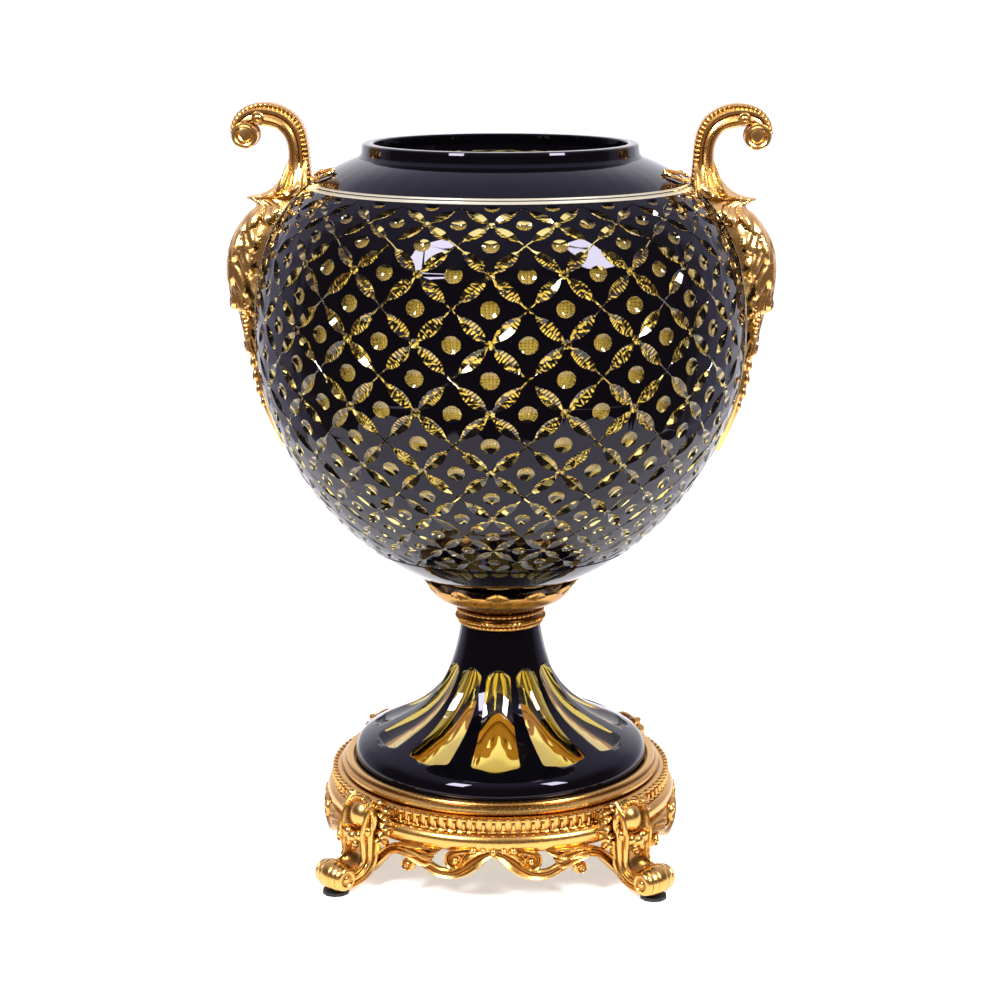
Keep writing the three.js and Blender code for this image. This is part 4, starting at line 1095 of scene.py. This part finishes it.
def buildHandle(name, side):
    bm = bmesh.new()
    rows, outer = stemRows()
    addGrid(bm, rows)
    crest = [p * mm for p in outer]
    eye = Vector(handle["eye"]) * mm
    curlX, curlZ = handle["curl"]
    for flip in (-1, 1):
        edge = []
        for i, p in enumerate(crest):
            along = heading(crest, i)
            edge.append(p + Vector((along.z * 1.5, flip * 3.9, -along.x * 1.5)) * mm)
        beadsAlong(bm, edge[6:64], 2.4, 1.5, ropeBead)
    for flip in (-1, 1):
        rim = circle(eye + Vector((0, flip * 6.0, 0)) * mm, 5.5, [360 * k / 32 for k in range(33)])
        addTube(bm, rim, 1.35 * mm, sides=9)
        addBall(bm, eye + Vector((0, flip * 5.7 * mm, 0)), 4.6 * mm, (1, 0.22, 1), detail=(24, 10))
        addBall(bm, Vector((curlX, flip * 5.4, curlZ)) * mm, 2.2 * mm, (1, 0.8, 1), detail=(14, 9))
        hook = circle(Vector((curlX, flip * 6.2, curlZ)) * mm, 2.5, range(-30, 331, 20))
        addTube(bm, hook, 0.85 * mm, sides=7)
        for a, b, wide in handle["flutes"]:
            root, tip = Vector((a[0], flip * 3.2, a[1])), Vector((b[0], flip * 8.8, b[1]))
            bend = root.lerp(tip, 0.6) + Vector((0, flip * 1.6, 0))
            ends = (tip + Vector((0, flip * 0.9, 0)), tip + Vector((0.3, -flip * 1.4, -2.0)))
            ribbon(bm, smoothPath([p * mm for p in (root, bend, *ends)], 6), wide, 1.9, handle["fluteTaper"],
                   lambda p: Vector((0, flip, 0.15)).normalized())
        shoulderArm(bm, flip)
    for flip in (-1, 1):
        for z, turn, size, tall in handle["berries"]:
            addBall(bm, leafSpot(flip * turn, z), size * mm, (1, 1, tall), detail=(12, 9))
    sideLeaf(bm)
    if side < 0:
        for vert in bm.verts:
            vert.co.x = -vert.co.x
    finished(name, bm, (giltHandle,), "handle_right" if side > 0 else "handle_left")


for side, name in ((1, "rightScrollHandle"), (-1, "leftScrollHandle")):
    buildHandle(name, side)
print("handles ready")


# pads keep their shape from the model and take a matt rubber look

rubber = crystalMaterial("blackRubber", (0.012, 0.012, 0.013), 0.55, 700, 0.0002,
                         seeThrough=False, specular=0.4)
for name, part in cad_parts.items():
    if name.startswith("pad_"):
        part.data.materials.clear()
        part.data.materials.append(rubber)


# floor, light and camera

def paleFloor(front=-0.42, back=1.3, half=0.46):  # a white sheet on a small table
    paper = bpy.data.meshes.new("paleFloor")
    corners = [(-half, front, 0), (half, front, 0), (half, back, 0), (-half, back, 0)]
    paper.from_pydata(corners, [], [(0, 1, 2, 3)])
    material, shader, _ = surface("palePaper", polished, dict(Scale=8, Roughness=0.55))
    shader.inputs["Base Color"].default_value = (0.86, 0.855, 0.84, 1)
    shader.inputs["Emission Color"].default_value = (1, 1, 1, 1)
    shader.inputs["Emission Strength"].default_value = 0.5  # keeps the paper white all over
    paper.materials.append(material)
    placed("paleFloor", paper)


def softLight(name, place, aim, size, power):
    light = bpy.data.lights.new(name, "AREA")
    light.shape = "RECTANGLE"
    light.size, light.size_y = size
    light.energy = power
    holder = placed(name, light)
    holder.location = place
    holder.rotation_euler = (Vector(aim) - Vector(place)).to_track_quat("-Z", "Y").to_euler()


def studioWorld():  # white behind the object, grey at its sides, dim on the photographer's side
    world = bpy.data.worlds.new("studio")
    bpy.context.scene.world = world
    world.use_nodes = True
    tree = world.node_tree
    place = node(tree, "ShaderNodeTexCoord").outputs["Generated"]
    way = node(tree, "ShaderNodeSeparateXYZ", {0: place}).outputs
    toBack = node(tree, "ShaderNodeValToRGB", dict(Fac=way["Y"]))
    stops = toBack.color_ramp.elements
    stops[0].position, stops[0].color = 0.15, (0.15, 0.115, 0.12, 1)
    stops[1].position, stops[1].color = 0.86, (1.12, 1.1, 1.2, 1)
    for at, shade in ((0.48, (0.62, 0.58, 0.8, 1)), (0.66, (0.66, 0.62, 0.84, 1))):
        stops.new(at).color = shade
    toTop = node(tree, "ShaderNodeMapRange", {"Value": way["Z"], "From Min": 0.45, "From Max": 0.95},
                 interpolation_type="SMOOTHSTEP")
    backdrop = next(n for n in tree.nodes if n.type == "BACKGROUND")
    overall = mixedColor(tree, toTop.outputs["Result"], toBack.outputs["Color"], (0.68, 0.64, 0.86, 1))
    tree.links.new(overall, backdrop.inputs["Color"])


paleFloor()
studioWorld()
middle = (0, 0, 0.25)
softLight("windowLeft", (-0.98, -1.28, 1.72), middle, (0.5, 0.78), 56)
softLight("windowRight", (1.24, -0.96, 1.56), middle, (0.42, 0.74), 41)
bpy.context.scene.view_settings.view_transform = "Standard"

# distance and height in metres, turns in degrees, focal length and middle in pixels of the photo
view = dict(distance=1.150, height=0.4614, aside=2.27, down=13.27, focal=2216.0, across=500.5)
lens = bpy.data.cameras.new("camera")
lens.sensor_width = 36
lens.lens = view["focal"] * 36 / 1000
lens.shift_x = (500 - view["across"]) / 1000
camera = placed("camera", lens)
aside = radians(view["aside"])
camera.location = (view["distance"] * sin(aside), -view["distance"] * cos(aside), view["height"])
camera.rotation_euler = (radians(90 - view["down"]), 0, aside)
bpy.context.scene.camera = camera

print("studio ready")
